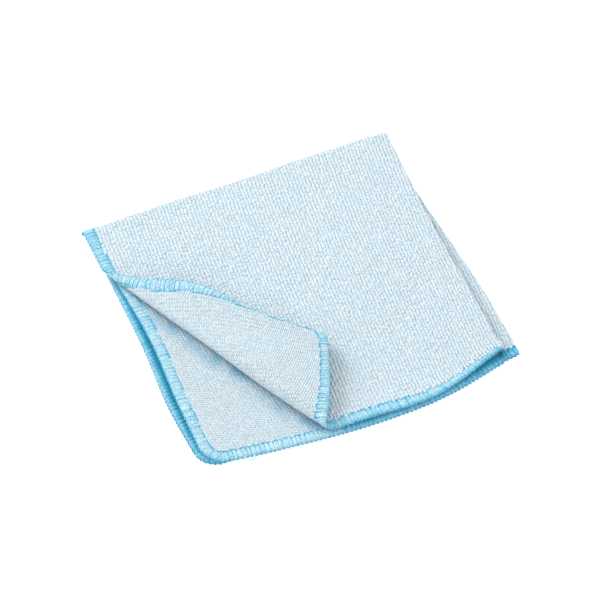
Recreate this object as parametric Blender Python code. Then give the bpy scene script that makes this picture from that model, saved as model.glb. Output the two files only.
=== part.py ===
"""Microfibre cloth, folded in quarters, with one corner of the top layer turned back.

The cloth is one square sheet. It is doubled first along the fold at the right and then along the
fold at the back, so four layers lie on each other. The flat sheet is drawn in its own plane, cut
finer where it bends, and carried by fold_sheet() to the place where each point of it lies.

Frame: +X along the back fold, +Y to the back fold, +Z up, the bottom layer flat at z = 0.
A place in one layer is given by u, from 0 at the right fold to 1 at the left hem, and by v, from 0
at the back fold to 1 at the front hem.
"""
from collections import namedtuple

import bmesh
import bpy
import numpy as np

MM = 0.001

# Driving sizes
QUARTER = 150.0 * MM        # side of one layer: half of the cloth's own side of 300 mm
THICKNESS = 1.7 * MM        # terry knit with its pile pressed down
LAYER_GAP = 0.6 * MM        # air between two layers
HEM_WIDTH = 4.8 * MM        # overlocked edge
CORNER_RADIUS = 9.5 * MM    # the hem goes round the cloth's corners
LAYER_RISE = THICKNESS + LAYER_GAP
CENTRE = (-0.49 * MM, -2.54 * MM)   # middle of the outline, which comes to the origin

# The layers from the top down. Each outline has five places: the right fold and the left hem are x
# from the back to the front, the front hem is y from the right to the left, all in millimetres.
Layer = namedtuple("Layer", "name height right_fold left_hem front_hem")
LAYERS = (
    Layer("top", THICKNESS / 2 + 3 * LAYER_RISE,
          (77.6, 73.4, 69.7, 66.9, 63.9), (-77.4, -76.4, -76.5, -76.5, -77.0),
          (-70.0, -79.8, -80.2, -79.8, -78.0)),
    Layer("second", THICKNESS / 2 + 2 * LAYER_RISE,
          (77.6, 73.4, 69.7, 66.9, 63.9), (-76.4, -73.0, -72.4, -74.6, -75.4),
          (-70.6, -81.0, -81.6, -81.6, -79.0)),
    Layer("third", THICKNESS / 2 + LAYER_RISE,
          (77.6, 75.2, 75.0, 74.4, 71.8), (-76.4, -75.6, -75.8, -78.0, -77.0),
          (-69.6, -79.3, -81.0, -77.2, -75.0)),
    Layer("bottom", THICKNESS / 2,
          (77.6, 75.2, 75.0, 74.4, 71.8), (-77.4, -76.0, -76.2, -78.6, -77.5),
          (-69.6, -79.6, -81.3, -77.4, -75.5)),
)
TOP, SECOND, THIRD, BOTTOM = range(4)
BACK_FOLD = (76.9, 76.0, 74.2, 73.7, 71.9)      # y of the outer skin from the right to the left

# Where layers stand off what is under them: each row lifts the layers down to the lowest named
Lift = namedtuple("Lift", "place lowest u v rise spread_u spread_v")
LIFTS = (
    Lift("left hems parted", SECOND, 1.00, 0.62, 1.8 * MM, 0.10, 0.30),
    Lift("open loop at the near end of the right fold", TOP, 0.00, 1.05, 1.8 * MM, 0.10, 0.22),
    Lift("front hem", TOP, 0.45, 1.00, 0.5 * MM, 0.30, 0.10),
    Lift("swell of the top", TOP, 0.35, 0.45, 0.8 * MM, 0.30, 0.30),
)

# The turned back corner: the line where the top layer leaves the stack, and the roll above it
FLAP_BACK = np.array((-77.0, 38.4)) * MM        # on the left hem
FLAP_FRONT = np.array((-19.4, -80.0)) * MM      # on the front hem
FLAP_BOW = -0.4 * MM                            # how far the line bows to the right at its middle
FLAP_ROLL = (1.3, 2.0, 2.9, 3.4, 3.1)           # radius of the roll from the back to the front, mm

# How the free corner has been dragged: along is 0 at the back end of the roll and 1 at the front,
# past is the distance beyond the roll
Drag = namedtuple("Drag", "place along past dx dy dz spread_along spread_past")
DRAGS = (
    Drag("back root", 0.18, 4.0 * MM, 3.0 * MM, 5.5 * MM, 2.0 * MM, 0.18, 10.0 * MM),
    Drag("belly", 0.41, 17.0 * MM, 2.0 * MM, 8.5 * MM, 2.0 * MM, 0.24, 13.0 * MM),
    Drag("tip", 0.80, 40.0 * MM, -5.0 * MM, 7.0 * MM, -1.0 * MM, 0.28, 20.0 * MM),
    Drag("front root", 1.00, 10.0 * MM, 5.0 * MM, 9.0 * MM, 1.3 * MM, 0.16, 14.0 * MM),
)
Droop = namedtuple("Droop", "starts full width drop")
HEM_DROOP = Droop(53.0 * MM, 93.0 * MM, 9.0 * MM, 3.5 * MM)     # starts and full: along the left hem

# Lines of the flat sheet, as distances from a fold line
BEND_STEPS = (0.0, 0.6, 1.2, 1.8, 3.0, 4.2, 5.4, 8.0)   # mm, the last three for the outer bend only
FLAT_STEP = 8.5 * MM
ROLL_STEP = 1.4 * MM
ROLL_LINES = 9
SLIVER = 0.5 * MM           # a cut this near to a vertex goes through it

CLOTH_COLOUR = (0.66, 0.79, 0.87, 1.0)
CLOTH_ROUGHNESS = 0.95


def clear_scene():
    """Remove what the file starts with."""
    for thing in list(bpy.data.objects):
        bpy.data.objects.remove(thing, do_unlink=True)


def through(values, place):
    """Read a smooth curve through evenly spaced values at places from 0 to 1."""
    values = np.asarray(values, float)
    slopes = np.gradient(values)
    spot = np.clip(place, 0.0, 1.0) * (len(values) - 1)
    low = np.clip(spot.astype(int), 0, len(values) - 2)
    part = spot - low
    return (values[low] * (2 * part**3 - 3 * part**2 + 1)
            + slopes[low] * (part**3 - 2 * part**2 + part)
            + values[low + 1] * (3 * part**2 - 2 * part**3)
            + slopes[low + 1] * (part**3 - part**2))


def ease(start, end, value):
    """Rise softly from 0 at start to 1 at end."""
    part = np.clip((value - start) / (end - start), 0.0, 1.0)
    return part * part * (3 - 2 * part)


def hill(offset_a, spread_a, offset_b, spread_b):
    """A soft round hill that is 1 at its middle."""
    return np.exp(-(offset_a / spread_a) ** 2 - (offset_b / spread_b) ** 2)


def layer_height(layer, u, v):
    """Height of the middle of a layer, with the lifts that reach it."""
    height = np.full(np.shape(u), LAYERS[layer].height)
    for lift in LIFTS:
        if layer <= lift.lowest:
            height = height + lift.rise * hill(u - lift.u, lift.spread_u, v - lift.v, lift.spread_v)
    return height


def round_corners(p, q):
    """Bend the square corner of a layer, as the hem goes round the cloth's corners."""
    a = (p - (QUARTER - CORNER_RADIUS)) / CORNER_RADIUS
    b = (q - (QUARTER - CORNER_RADIUS)) / CORNER_RADIUS
    inside = (a > 0) & (b > 0)
    most = np.where(inside, np.maximum(a, b), 1.0)
    turn = np.pi / 4 * np.where(inside, np.minimum(a, b) / most, 0.0)
    major, minor = most * np.cos(turn), most * np.sin(turn)
    a_round, b_round = np.where(a >= b, major, minor), np.where(a >= b, minor, major)
    start = QUARTER - CORNER_RADIUS
    return (np.where(inside, start + CORNER_RADIUS * a_round, p),
            np.where(inside, start + CORNER_RADIUS * b_round, q))


def pair_profile(outer, inner, up, p, is_outer, v):
    """Height of a doubled pair of layers and the radius of the right fold that joins them."""
    at_fold = np.zeros_like(p)
    outer_start, inner_start = layer_height(outer, at_fold, v), layer_height(inner, at_fold, v)
    radius = np.abs(outer_start - inner_start) / 2
    bend = np.pi / 2 * radius
    u_past = np.clip(p - bend, 0.0, None) / QUARTER
    flat = np.where(is_outer, layer_height(outer, u_past, v), layer_height(inner, u_past, v))
    side = np.where(is_outer, up, -up)
    turn = np.clip(p / radius, 0.0, np.pi / 2)
    curved = (outer_start + inner_start) / 2 + side * radius * np.sin(turn)
    return np.where(p < bend, curved, flat), radius


def stack_layers(s, t):
    """Carry points of the flat sheet into the stack of four layers, with no corner turned back."""
    is_top, is_outer = t >= 0, s >= 0
    p, q = round_corners(np.abs(s), np.abs(t))
    u, v = p / QUARTER, q / QUARTER
    layer = np.where(is_top, np.where(is_outer, TOP, SECOND), np.where(is_outer, BOTTOM, THIRD))

    def outline(field, place):
        curves = [through(getattr(row, field), place) * MM for row in LAYERS]
        return np.choose(layer, curves)

    def heights(v_at):
        upper, upper_radius = pair_profile(TOP, SECOND, 1, p, is_outer, v_at)
        lower, lower_radius = pair_profile(BOTTOM, THIRD, -1, p, is_outer, v_at)
        return upper, lower, np.where(is_top, upper_radius, lower_radius)

    # The right fold: a half turn whose radius follows the two heights it joins
    _, _, radius = heights(v)
    bend = np.pi / 2 * radius
    fold_x = outline("right_fold", v) - THICKNESS / 2 - radius
    left_x = outline("left_hem", v)
    flat_x = fold_x - (fold_x - left_x) * (p - bend) / (QUARTER - bend)
    x = np.where(p < bend, fold_x + radius * np.cos(np.clip(p / radius, 0, np.pi / 2)), flat_x)

    # The back fold: the doubled pair turns over as one, the outer layer round the inner one
    upper, lower, _ = heights(np.zeros_like(v))
    turn_radius, turn_height = (upper - lower) / 2, (upper + lower) / 2
    bend = np.pi / 2 * turn_radius
    widest = (LAYERS[TOP].height - LAYERS[BOTTOM].height) / 2
    fold_y = through(BACK_FOLD, u) * MM - THICKNESS / 2 - widest
    front_y = outline("front_hem", u)
    flat_y = fold_y - (fold_y - front_y) * (q - bend) / (QUARTER - bend)
    turn = np.clip(q / turn_radius, 0, np.pi / 2)
    y = np.where(q < bend, fold_y + turn_radius * np.cos(turn), flat_y)
    upper, lower, _ = heights(np.clip(q - bend, 0.0, None) / QUARTER)
    curved_z = turn_height + np.where(is_top, 1, -1) * turn_radius * np.sin(turn)
    z = np.where(q < bend, curved_z, np.where(is_top, upper, lower))
    return np.column_stack((x, y, z)), layer


def flap_axes():
    """Length of the line where the corner leaves the stack, its direction and its right normal."""
    length = np.linalg.norm(FLAP_FRONT - FLAP_BACK)
    along = (FLAP_FRONT - FLAP_BACK) / length
    return length, along, np.array((-along[1], along[0]))


def turn_corner_back(points, layer, s, t):
    """Roll the free corner of the top layer up and over, and drag it as it lies."""
    length, direction, right = flap_axes()
    offset = points[:, :2] - FLAP_BACK
    along = np.clip(offset @ direction / length, 0.0, 1.0)
    bow = FLAP_BOW * np.sin(np.pi * along)
    beyond = bow - offset @ right
    radius = through(FLAP_ROLL, along) * MM
    turn = np.clip(beyond / radius, 0.0, np.pi)
    past = np.clip(beyond - np.pi * radius, 0.0, None)
    across = past - radius * np.sin(turn) + bow
    rise = radius * (1 - np.cos(turn))
    flat = FLAP_BACK + np.outer(offset @ direction, direction) + np.outer(across, right)
    free = ease(np.pi / 2, np.pi, turn)
    for drag in DRAGS:
        pull = free * hill(along - drag.along, drag.spread_along, past - drag.past, drag.spread_past)
        flat = flat + np.outer(pull, (drag.dx, drag.dy))
        rise = rise + pull * drag.dz
    sag = ease(HEM_DROOP.starts, HEM_DROOP.full, np.abs(t))
    sag = sag * free * (1 - ease(0.0, HEM_DROOP.width, QUARTER - np.abs(s)))
    rise = rise - HEM_DROOP.drop * sag
    turned = (layer == TOP) & (beyond > 0)
    moved = points.copy()
    moved[turned, :2] = flat[turned]
    moved[turned, 2] += rise[turned]
    return moved


def fold_sheet(flat_points):
    """Carry points (s, t) of the flat sheet to where they lie in the folded cloth."""
    s, t = flat_points[:, 0], flat_points[:, 1]
    points, layer = stack_layers(s, t)
    return turn_corner_back(points, layer, s, t)


def sheet_lines():
    """Distances of the mesh lines from a fold: close in the bend, even beyond, one at the hem."""
    bend = [step * MM for step in BEND_STEPS]
    inner_hem = QUARTER - HEM_WIDTH
    count = round((inner_hem - bend[-1]) / FLAT_STEP)
    return bend + list(np.linspace(bend[-1], inner_hem, count + 1)[1:]) + [QUARTER]


def flat_sheet():
    """Draw the flat square sheet, cut along the lines on which it bends."""
    half = sheet_lines()
    lines = [-line for line in reversed(half[1:])] + half
    bm = bmesh.new()
    rows = [[bm.verts.new((s, t, 0.0)) for s in lines] for t in lines]
    for low, high in zip(rows, rows[1:]):
        for i in range(len(lines) - 1):
            bm.faces.new((low[i], low[i + 1], high[i + 1], high[i]))
    cut_for_roll(bm)
    bmesh.ops.triangulate(bm, faces=[face for face in bm.faces if len(face.verts) > 4])
    return bm


def cut_for_roll(bm):
    """Cut the top layer's quarter along lines that run with the roll of the turned back corner."""
    back_q = back_fold_distance(FLAP_BACK[1])
    front_p = right_fold_distance(FLAP_FRONT[0])
    start, end = np.array((QUARTER, back_q)), np.array((front_p, QUARTER))
    direction = (end - start) / np.linalg.norm(end - start)
    normal = np.array((-direction[1], direction[0]))
    normal *= np.sign(normal @ (np.array((QUARTER, QUARTER)) - start))
    for line in range(ROLL_LINES):
        place = start + normal * (line * ROLL_STEP)
        quarter = [face for face in bm.faces if min(v.co.x for v in face.verts) > -SLIVER
                   and min(v.co.y for v in face.verts) > -SLIVER]
        geom = quarter + list({edge for face in quarter for edge in face.edges})
        geom += list({vert for face in quarter for vert in face.verts})
        bmesh.ops.bisect_plane(bm, geom=geom, dist=SLIVER, plane_co=(*place, 0.0),
                               plane_no=(*normal, 0.0))


def back_fold_distance(y):
    """Distance along the sheet from the back fold to y on the left hem of the top layer."""
    bend_end = BACK_FOLD[-1] * MM - THICKNESS / 2 - 1.5 * LAYER_RISE
    return np.pi / 2 * 1.5 * LAYER_RISE + bend_end - y


def right_fold_distance(x):
    """Distance along the sheet from the right fold to x on the front hem of the top layer."""
    return LAYERS[TOP].right_fold[-1] * MM - THICKNESS / 2 - x


def cloth_material():
    """Pale blue terry."""
    material = bpy.data.materials.new("terry")
    material.use_nodes = True
    shader = material.node_tree.nodes["Principled BSDF"]
    shader.inputs["Base Color"].default_value = CLOTH_COLOUR
    shader.inputs["Roughness"].default_value = CLOTH_ROUGHNESS
    shader.inputs["Metallic"].default_value = 0.0
    material.diffuse_color = CLOTH_COLOUR
    return material


def make_cloth():
    """Fold the flat sheet and give it its thickness."""
    bm = flat_sheet()
    flat = np.array([vert.co[:2] for vert in bm.verts])
    folded = fold_sheet(flat) - np.array((*CENTRE, 0.0))
    for vert, place in zip(bm.verts, folded):
        vert.co = place
    bmesh.ops.triangulate(bm, faces=bm.faces[:])
    mesh = bpy.data.meshes.new("cloth")
    bm.to_mesh(mesh)
    bm.free()
    cloth = bpy.data.objects.new("cloth", mesh)
    bpy.context.scene.collection.objects.link(cloth)
    mesh.materials.append(cloth_material())
    wall = cloth.modifiers.new("thickness", "SOLIDIFY")
    wall.thickness = THICKNESS
    wall.offset = 0.0
    wall.use_even_offset = True
    return cloth


clear_scene()
make_cloth()
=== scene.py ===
"""Looks of a microfibre cloth, folded in quarters, with one corner of its top layer turned back.

The cloth is laid out flat first, as it is knitted and sewn: the ground sheet, a loop of pile at each
stitch of the knit, and the overlocked edge. FoldedCloth then carries each point of it to the place
where it lies in the folded cloth, so pile and sewing follow every fold.

Flat coordinates are s and t, from the middle of the cloth, and h, the height over the middle of the
sheet towards its ribbed face. The fold at the right is s = 0 and the one at the back is t = 0. The
four layers are the four quarters: top s > 0, t > 0; second s < 0, t > 0; third s < 0, t < 0;
bottom s > 0, t < 0. The ribbed face is outside, and shows on top, at the folds and underneath.
"""
import logging
import math
from collections.abc import Callable, Sequence
from dataclasses import dataclass
from enum import Enum

import bmesh
import bpy
import numpy as np
from mathutils import Matrix, Vector


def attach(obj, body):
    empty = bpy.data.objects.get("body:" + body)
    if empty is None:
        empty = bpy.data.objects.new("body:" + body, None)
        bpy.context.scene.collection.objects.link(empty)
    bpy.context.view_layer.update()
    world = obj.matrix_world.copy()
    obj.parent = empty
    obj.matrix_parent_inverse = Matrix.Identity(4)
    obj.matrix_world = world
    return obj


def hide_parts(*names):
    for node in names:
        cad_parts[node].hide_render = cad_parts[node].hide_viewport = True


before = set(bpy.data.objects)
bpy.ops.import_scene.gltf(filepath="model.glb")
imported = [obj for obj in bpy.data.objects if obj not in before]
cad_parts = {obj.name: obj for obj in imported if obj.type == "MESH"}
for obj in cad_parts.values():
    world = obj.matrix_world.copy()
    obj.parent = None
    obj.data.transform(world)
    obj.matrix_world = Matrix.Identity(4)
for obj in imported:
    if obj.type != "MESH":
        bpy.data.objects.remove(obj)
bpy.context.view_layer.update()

MM = 0.001
TINY = 1e-12
LOG = logging.getLogger("microfibre_cloth")

Colour = tuple[float, float, float]
Test = Callable[[np.ndarray, np.ndarray], np.ndarray]


class Face(Enum):
    """The two faces of the knit. The value is the sign of h on that face."""

    RIBBED = 1
    PEBBLED = -1


class Row(Enum):
    """The layers from the top down."""

    TOP = 0
    SECOND = 1
    THIRD = 2
    BOTTOM = 3


@dataclass(frozen=True)
class Layer:
    """Outline of one layer, in millimetres: x from back to front, and y from right to left."""

    level: int
    right_fold: tuple[float, ...]
    left_hem: tuple[float, ...]
    front_hem: tuple[float, ...]


@dataclass(frozen=True)
class Lift:
    """A place where the layers down to the lowest named stand off what is under them, in mm."""

    lowest: Row
    u: float
    v: float
    rise: float
    spread_u: float
    spread_v: float


@dataclass(frozen=True)
class Drag:
    """A pull on the turned back corner, at a place along the roll and past it, in mm."""

    along: float
    past: float
    dx: float
    dy: float
    dz: float
    spread_along: float
    spread_past: float


@dataclass(frozen=True)
class Swell:
    """A soft rise or hollow of the whole stack, in mm, with its long side turned by angle degrees."""

    x: float
    y: float
    rise: float
    long: float
    wide: float
    angle: float


@dataclass(frozen=True)
class PaintedLight:
    """Places of painted light: the hem's painted highlight and painted shade, and the roll's painted
    shade. In metres.
    """

    # Where the hem's painted highlight fades in from the open rim, wider and weaker on the front hems;
    # where the second layer's uncovered hem gets it in full; and its share on the top layer's ribbed
    # face
    rim: tuple[float, float] = (0.2 * MM, 2.2 * MM)
    front_rim: float = 2.0 * MM
    front_loss: float = 0.3
    front_blend: float = 8.0 * MM
    flap_starts: float = 78 * MM
    flap_blend: float = 12 * MM
    top: float = 0.84
    # How far beyond the roll's line the painted shade is full, and where it ends: beside the roll on
    # the second layer, and under it on the top layer
    beside_roll: tuple[float, float] = (2.5 * MM, 12.0 * MM)
    under_roll: tuple[float, float] = (0.8 * MM, 4.5 * MM)


def through(values: Sequence[float], place: np.ndarray) -> np.ndarray:
    """Read a smooth curve through evenly spaced values.

    Args:
        values: What the curve passes through.
        place: Where to read it, from 0 at the first value to 1 at the last.

    Returns:
        The curve's value at each place.
    """
    knots = np.asarray(values, float)
    slopes = np.gradient(knots)
    spot = np.clip(place, 0.0, 1.0) * (len(knots) - 1)
    low = np.clip(spot.astype(int), 0, len(knots) - 2)
    part = spot - low
    return (knots[low] * (2 * part**3 - 3 * part**2 + 1)
            + slopes[low] * (part**3 - 2 * part**2 + part)
            + knots[low + 1] * (3 * part**2 - 2 * part**3)
            + slopes[low + 1] * (part**3 - part**2))


def ease(start: float, end: float | np.ndarray, value: np.ndarray) -> np.ndarray:
    """Rise softly from 0 at start to 1 at end."""
    part = np.clip((value - start) / (end - start), 0.0, 1.0)
    return part * part * (3 - 2 * part)


def hill(offset_a: np.ndarray, spread_a: float, offset_b: np.ndarray, spread_b: float) -> np.ndarray:
    """A soft round hill that is 1 at its middle."""
    return np.exp(-(offset_a / spread_a) ** 2 - (offset_b / spread_b) ** 2)


@dataclass(frozen=True)
class FoldedCloth:
    """Where each point of the flat cloth lies once it is folded. Sizes are in metres."""

    # The cloth, and the place of the stack's outline that comes to the origin
    quarter: float = 150 * MM
    thickness: float = 1.7 * MM
    layer_gap: float = 0.6 * MM
    hem_width: float = 4.8 * MM
    corner_radius: float = 9.5 * MM
    centre: tuple[float, float] = (-0.49 * MM, -2.54 * MM)
    layers: tuple[Layer, ...] = (
        Layer(3, (78.5, 74.1, 70.5, 67.9, 64.9), (-77.3, -77.3, -76.7, -76.5, -77.0),
              (-70.8, -82.4, -81.7, -80.0, -78.0)),
        Layer(2, (78.5, 74.1, 70.5, 67.9, 64.9), (-75.8, -73.6, -72.4, -74.6, -75.4),
              (-74.8, -82.3, -83.4, -80.4, -75.8)),
        Layer(1, (78.5, 76.0, 75.9, 75.4, 72.8), (-74.8, -75.4, -75.8, -77.8, -76.6),
              (-71.6, -76.4, -76.4, -75.6, -74.6)),
        Layer(0, (78.5, 76.0, 75.9, 75.4, 72.8), (-74.2, -74.2, -75.0, -77.4, -76.2),
              (-70.6, -74.0, -74.0, -73.6, -73.6)),
    )
    # The back fold's outer skin, y in mm from the right to the left, and its radius in layer rises
    back_fold: tuple[float, ...] = (76.9, 76.0, 74.2, 73.7, 71.9)
    half_stack: float = 1.5
    lifts: tuple[Lift, ...] = (
        Lift(Row.SECOND, 1.00, 0.70, 2.0, 0.10, 0.40),
        Lift(Row.TOP, 0.00, 1.05, 1.0, 0.10, 0.22),
        Lift(Row.TOP, 0.12, 0.985, 4.0, 0.17, 0.040),
        Lift(Row.TOP, 0.45, 0.985, 1.2, 0.24, 0.040),
        Lift(Row.TOP, 0.35, 0.45, 0.8, 0.30, 0.30),
    )
    swells: tuple[Swell, ...] = (
        Swell(-20, 45, 0.35, 40, 13, 20),
        Swell(25, 20, -0.30, 46, 12, -65),
        Swell(48, 52, 0.30, 26, 11, -15),
        Swell(-48, 62, -0.22, 22, 10, 5),
        Swell(40, -28, 0.32, 38, 12, -75),
        Swell(8, -50, -0.28, 30, 12, 25),
        Swell(-60, -35, 0.30, 30, 9, 80),
    )
    # The turned back corner: the line where it leaves the stack, from the left hem to the front hem,
    # the line's bow, the roll's radius in mm from the back to the front, and the drags, which take
    # drag_reach past the top of the roll to tell in full
    flap_back: tuple[float, float] = (-77.0 * MM, 44.0 * MM)
    flap_front: tuple[float, float] = (-20.8 * MM, -80.0 * MM)
    flap_bow: float = 0.2 * MM
    flap_roll: tuple[float, ...] = (1.2, 2.4, 2.8, 4.0, 2.5)
    drags: tuple[Drag, ...] = (
        Drag(0.12, 4, -2.5, -0.5, 1.5, 0.16, 11),
        Drag(0.32, 14, 2.5, 1.5, 4.5, 0.18, 13),
        Drag(0.55, 28, 0.0, 0.5, 4.0, 0.20, 16),
        Drag(0.80, 42, -7.2, 7.2, 1.6, 0.22, 18),
        Drag(0.97, 24, -2.2, 2.8, 0.0, 0.12, 14),
    )
    drag_reach: float = 12 * MM
    # The corner's hem droops: how far from the back fold this starts and is full, how far it reaches
    # in from the edge, and how much the edge sinks
    droop_starts: float = 62 * MM
    droop_full: float = 120 * MM
    droop_width: float = 9.5 * MM
    droop: float = 8.5 * MM
    # Half the step that finds the sheet's slope, and how far sewing may lean to cross the hem squarely
    probe: float = 0.05 * MM
    most_lean: float = 1.0
    # The film above the floor that takes what would be lower, and how many films deep it still tells
    floor_film: float = 0.2 * MM
    film_depth: float = 4.0
    painted_light: PaintedLight = PaintedLight()

    @property
    def rise(self) -> float:
        """Height from the middle of one layer to the middle of the next."""
        return self.thickness + self.layer_gap

    def level(self, row: Row) -> float:
        """Height of the middle of a layer, where nothing lifts it."""
        return self.thickness / 2 + self.layers[row.value].level * self.rise

    def height(self, row: Row, u: np.ndarray, v: np.ndarray) -> np.ndarray:
        """Height of the middle of a layer, with the lifts that reach it.

        Args:
            row: The layer.
            u: 0 at the right fold, 1 at the left hem.
            v: 0 at the back fold, 1 at the front hem.

        Returns:
            The height at each place.
        """
        height = np.full(np.shape(u), self.level(row))
        for lift in self.lifts:
            if row.value <= lift.lowest.value:
                shape = hill(u - lift.u, lift.spread_u, v - lift.v, lift.spread_v)
                height = height + lift.rise * MM * shape
        return height

    def round_corners(self, s: np.ndarray, t: np.ndarray) -> tuple[np.ndarray, np.ndarray]:
        """Bend the corners of a square grid to the cloth's rounded corners.

        Args:
            s: Flat coordinate across the right fold, in metres.
            t: Flat coordinate across the back fold, in metres.

        Returns:
            Both coordinates of each point, inside the rounded edge.
        """
        start = self.quarter - self.corner_radius
        a, b = (np.abs(s) - start) / self.corner_radius, (np.abs(t) - start) / self.corner_radius
        inside = (a > 0) & (b > 0)
        most = np.where(inside, np.maximum(a, b), 1.0)
        turn = np.pi / 4 * np.where(inside, np.minimum(a, b) / most, 0.0)
        major, minor = most * np.cos(turn), most * np.sin(turn)
        a_round, b_round = np.where(a >= b, major, minor), np.where(a >= b, minor, major)
        return (np.where(inside, np.sign(s) * (start + self.corner_radius * a_round), s),
                np.where(inside, np.sign(t) * (start + self.corner_radius * b_round), t))

    def to_edge(self, s: np.ndarray, t: np.ndarray) -> np.ndarray:
        """Find how far points of the flat cloth are from its rounded edge.

        Args:
            s: Flat coordinate across the right fold, in metres.
            t: Flat coordinate across the back fold, in metres.

        Returns:
            The distance, in metres, below 0 outside the edge.
        """
        start = self.quarter - self.corner_radius
        a, b = np.abs(s) - start, np.abs(t) - start
        return self.corner_radius - np.where((a > 0) & (b > 0), np.hypot(a, b), np.maximum(a, b))

    def edge_frame(self, s: np.ndarray, t: np.ndarray) -> tuple[np.ndarray, np.ndarray]:
        """Find the edge next to points of the flat cloth.

        Args:
            s: Flat coordinate across the right fold, in metres.
            t: Flat coordinate across the back fold, in metres.

        Returns:
            The nearest point of the rounded edge, and the unit vector out of the cloth there.
        """
        start = self.quarter - self.corner_radius
        a, b = np.abs(s) - start, np.abs(t) - start
        corner = (a > 0) & (b > 0)
        out = np.column_stack((np.where(corner, a, a >= b), np.where(corner, b, a < b)))
        out = out / np.linalg.norm(out, axis=1)[:, None] * np.sign(np.column_stack((s, t)))
        return np.column_stack((s, t)) + out * self.to_edge(s, t)[:, None], out

    def square_up(self, flat: np.ndarray) -> np.ndarray:
        """Slide sewing along the edge, so that its threads cross the folded hem at right angles.

        Args:
            flat: Points (s, t, h) of the sewing, each near the edge.

        Returns:
            The same points, moved along the edge by more the further in they are.
        """
        edge, out = self.edge_frame(flat[:, 0], flat[:, 1])
        along = np.column_stack((-out[:, 1], out[:, 0]))
        step, inner = along * self.probe, edge - out * self.hem_width
        run = (self.place(*(edge + step).T) - self.place(*(edge - step).T)) / (2 * self.probe)
        cross = (self.place(*inner.T) - self.place(*edge.T)) / self.hem_width
        shear = -np.sum(run * cross, axis=1) / np.sum(run * run, axis=1)
        lean = np.clip(shear, -self.most_lean, self.most_lean)
        slide = lean * self.to_edge(flat[:, 0], flat[:, 1])
        squared = flat.copy()
        squared[:, :2] += along * slide[:, None]
        return squared

    def hem_light(self, s: np.ndarray, t: np.ndarray, h: np.ndarray) -> np.ndarray:
        """How much painted highlight the hem gets: less where an upper layer covers a lower one, whose
        hem keeps the deep blue of painted shade.

        Args:
            s: Flat coordinate across the right fold, in metres.
            t: Flat coordinate across the back fold, in metres.
            h: Height over the middle of the sheet.

        Returns:
            0 for the deep blue of painted shade, up to 1 for the pale colour of painted highlight.
        """
        painted_light = self.painted_light
        # Painted highlight at the open rim, and on the hems that lie open: all of the top layer's, and
        # the second layer's upper face past the turned back corner
        at_front = ease(-painted_light.front_blend, 0.0, np.abs(t) - np.abs(s))
        rim_end = painted_light.rim[1] + painted_light.front_rim * at_front
        rim = 1 - ease(painted_light.rim[0], rim_end, self.to_edge(s, t))
        closed = rim * (1 - painted_light.front_loss * at_front)
        under_flap = ease(painted_light.flap_starts, painted_light.flap_starts + painted_light.flap_blend, -s)
        second = np.maximum(closed, under_flap * (h < 0))
        top = np.where(h > 0, painted_light.top, 1.0)
        return np.where(t < 0, closed, np.where(s >= 0, top, second))

    def roll_shade(self, s: np.ndarray, t: np.ndarray, h: np.ndarray) -> np.ndarray:
        """How much painted shade the roll of the turned back corner lays on what is beside and under
        it.

        Args:
            s: Flat coordinate across the right fold, in metres.
            t: Flat coordinate across the back fold, in metres.
            h: Height over the middle of the sheet.

        Returns:
            0 in the open, up to 1 where the painted shade by the roll is full.
        """
        beyond = self.past_roll(s, t)
        beside = (s < 0) * (1 - ease(*self.painted_light.beside_roll, beyond))
        under = (s >= 0) * (h < 0) * (1 - ease(*self.painted_light.under_roll, beyond))
        return (t >= 0) * (beside + under)

    def pair(self, outer: Row, inner: Row, up: int, p: np.ndarray, is_outer: np.ndarray,
             v: np.ndarray) -> tuple[np.ndarray, np.ndarray]:
        """Follow a doubled pair of layers round the right fold that joins them.

        Args:
            outer: The layer on the outside of the back fold.
            inner: The layer that it is doubled with.
            up: 1 where the outer layer is above the inner one, else -1.
            p: Distance along the sheet from the right fold.
            is_outer: Which points are on the outer layer.
            v: 0 at the back fold, 1 at the front hem.

        Returns:
            The height of each point, and the radius of the right fold there.
        """
        at_fold = np.zeros_like(p)
        outer_start, inner_start = self.height(outer, at_fold, v), self.height(inner, at_fold, v)
        radius = np.abs(outer_start - inner_start) / 2
        bend = np.pi / 2 * radius
        u = np.clip(p - bend, 0.0, None) / self.quarter
        flat = np.where(is_outer, self.height(outer, u, v), self.height(inner, u, v))
        side = np.where(is_outer, up, -up)
        turn = np.clip(p / radius, 0.0, np.pi / 2)
        curved = (outer_start + inner_start) / 2 + side * radius * np.sin(turn)
        return np.where(p < bend, curved, flat), radius

    def stack(self, s: np.ndarray, t: np.ndarray) -> np.ndarray:
        """Carry points of the flat cloth into the stack, with no corner turned back.

        Args:
            s: Flat coordinate across the right fold, in metres.
            t: Flat coordinate across the back fold, in metres.

        Returns:
            Points of the middle of the sheet, measured from the stack's own origin.
        """
        is_top, is_outer = t >= 0, s >= 0
        p, q = np.abs(s), np.abs(t)
        u, v = p / self.quarter, q / self.quarter
        row = np.where(is_top, np.where(is_outer, Row.TOP.value, Row.SECOND.value),
                       np.where(is_outer, Row.BOTTOM.value, Row.THIRD.value))

        def outline(line: Callable[[Layer], tuple[float, ...]], place: np.ndarray) -> np.ndarray:
            """Read the outline of each point's own layer."""
            return np.choose(row, [through(line(layer), place) * MM for layer in self.layers])

        def heights(v_at: np.ndarray) -> tuple[np.ndarray, np.ndarray, np.ndarray]:
            """Follow both pairs.

            Args:
                v_at: Where, from 0 at the back fold to 1 at the front hem.

            Returns:
                Heights of the upper and the lower pair, and the right fold's radius.
            """
            upper, upper_radius = self.pair(Row.TOP, Row.SECOND, 1, p, is_outer, v_at)
            lower, lower_radius = self.pair(Row.BOTTOM, Row.THIRD, -1, p, is_outer, v_at)
            return upper, lower, np.where(is_top, upper_radius, lower_radius)

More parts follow.
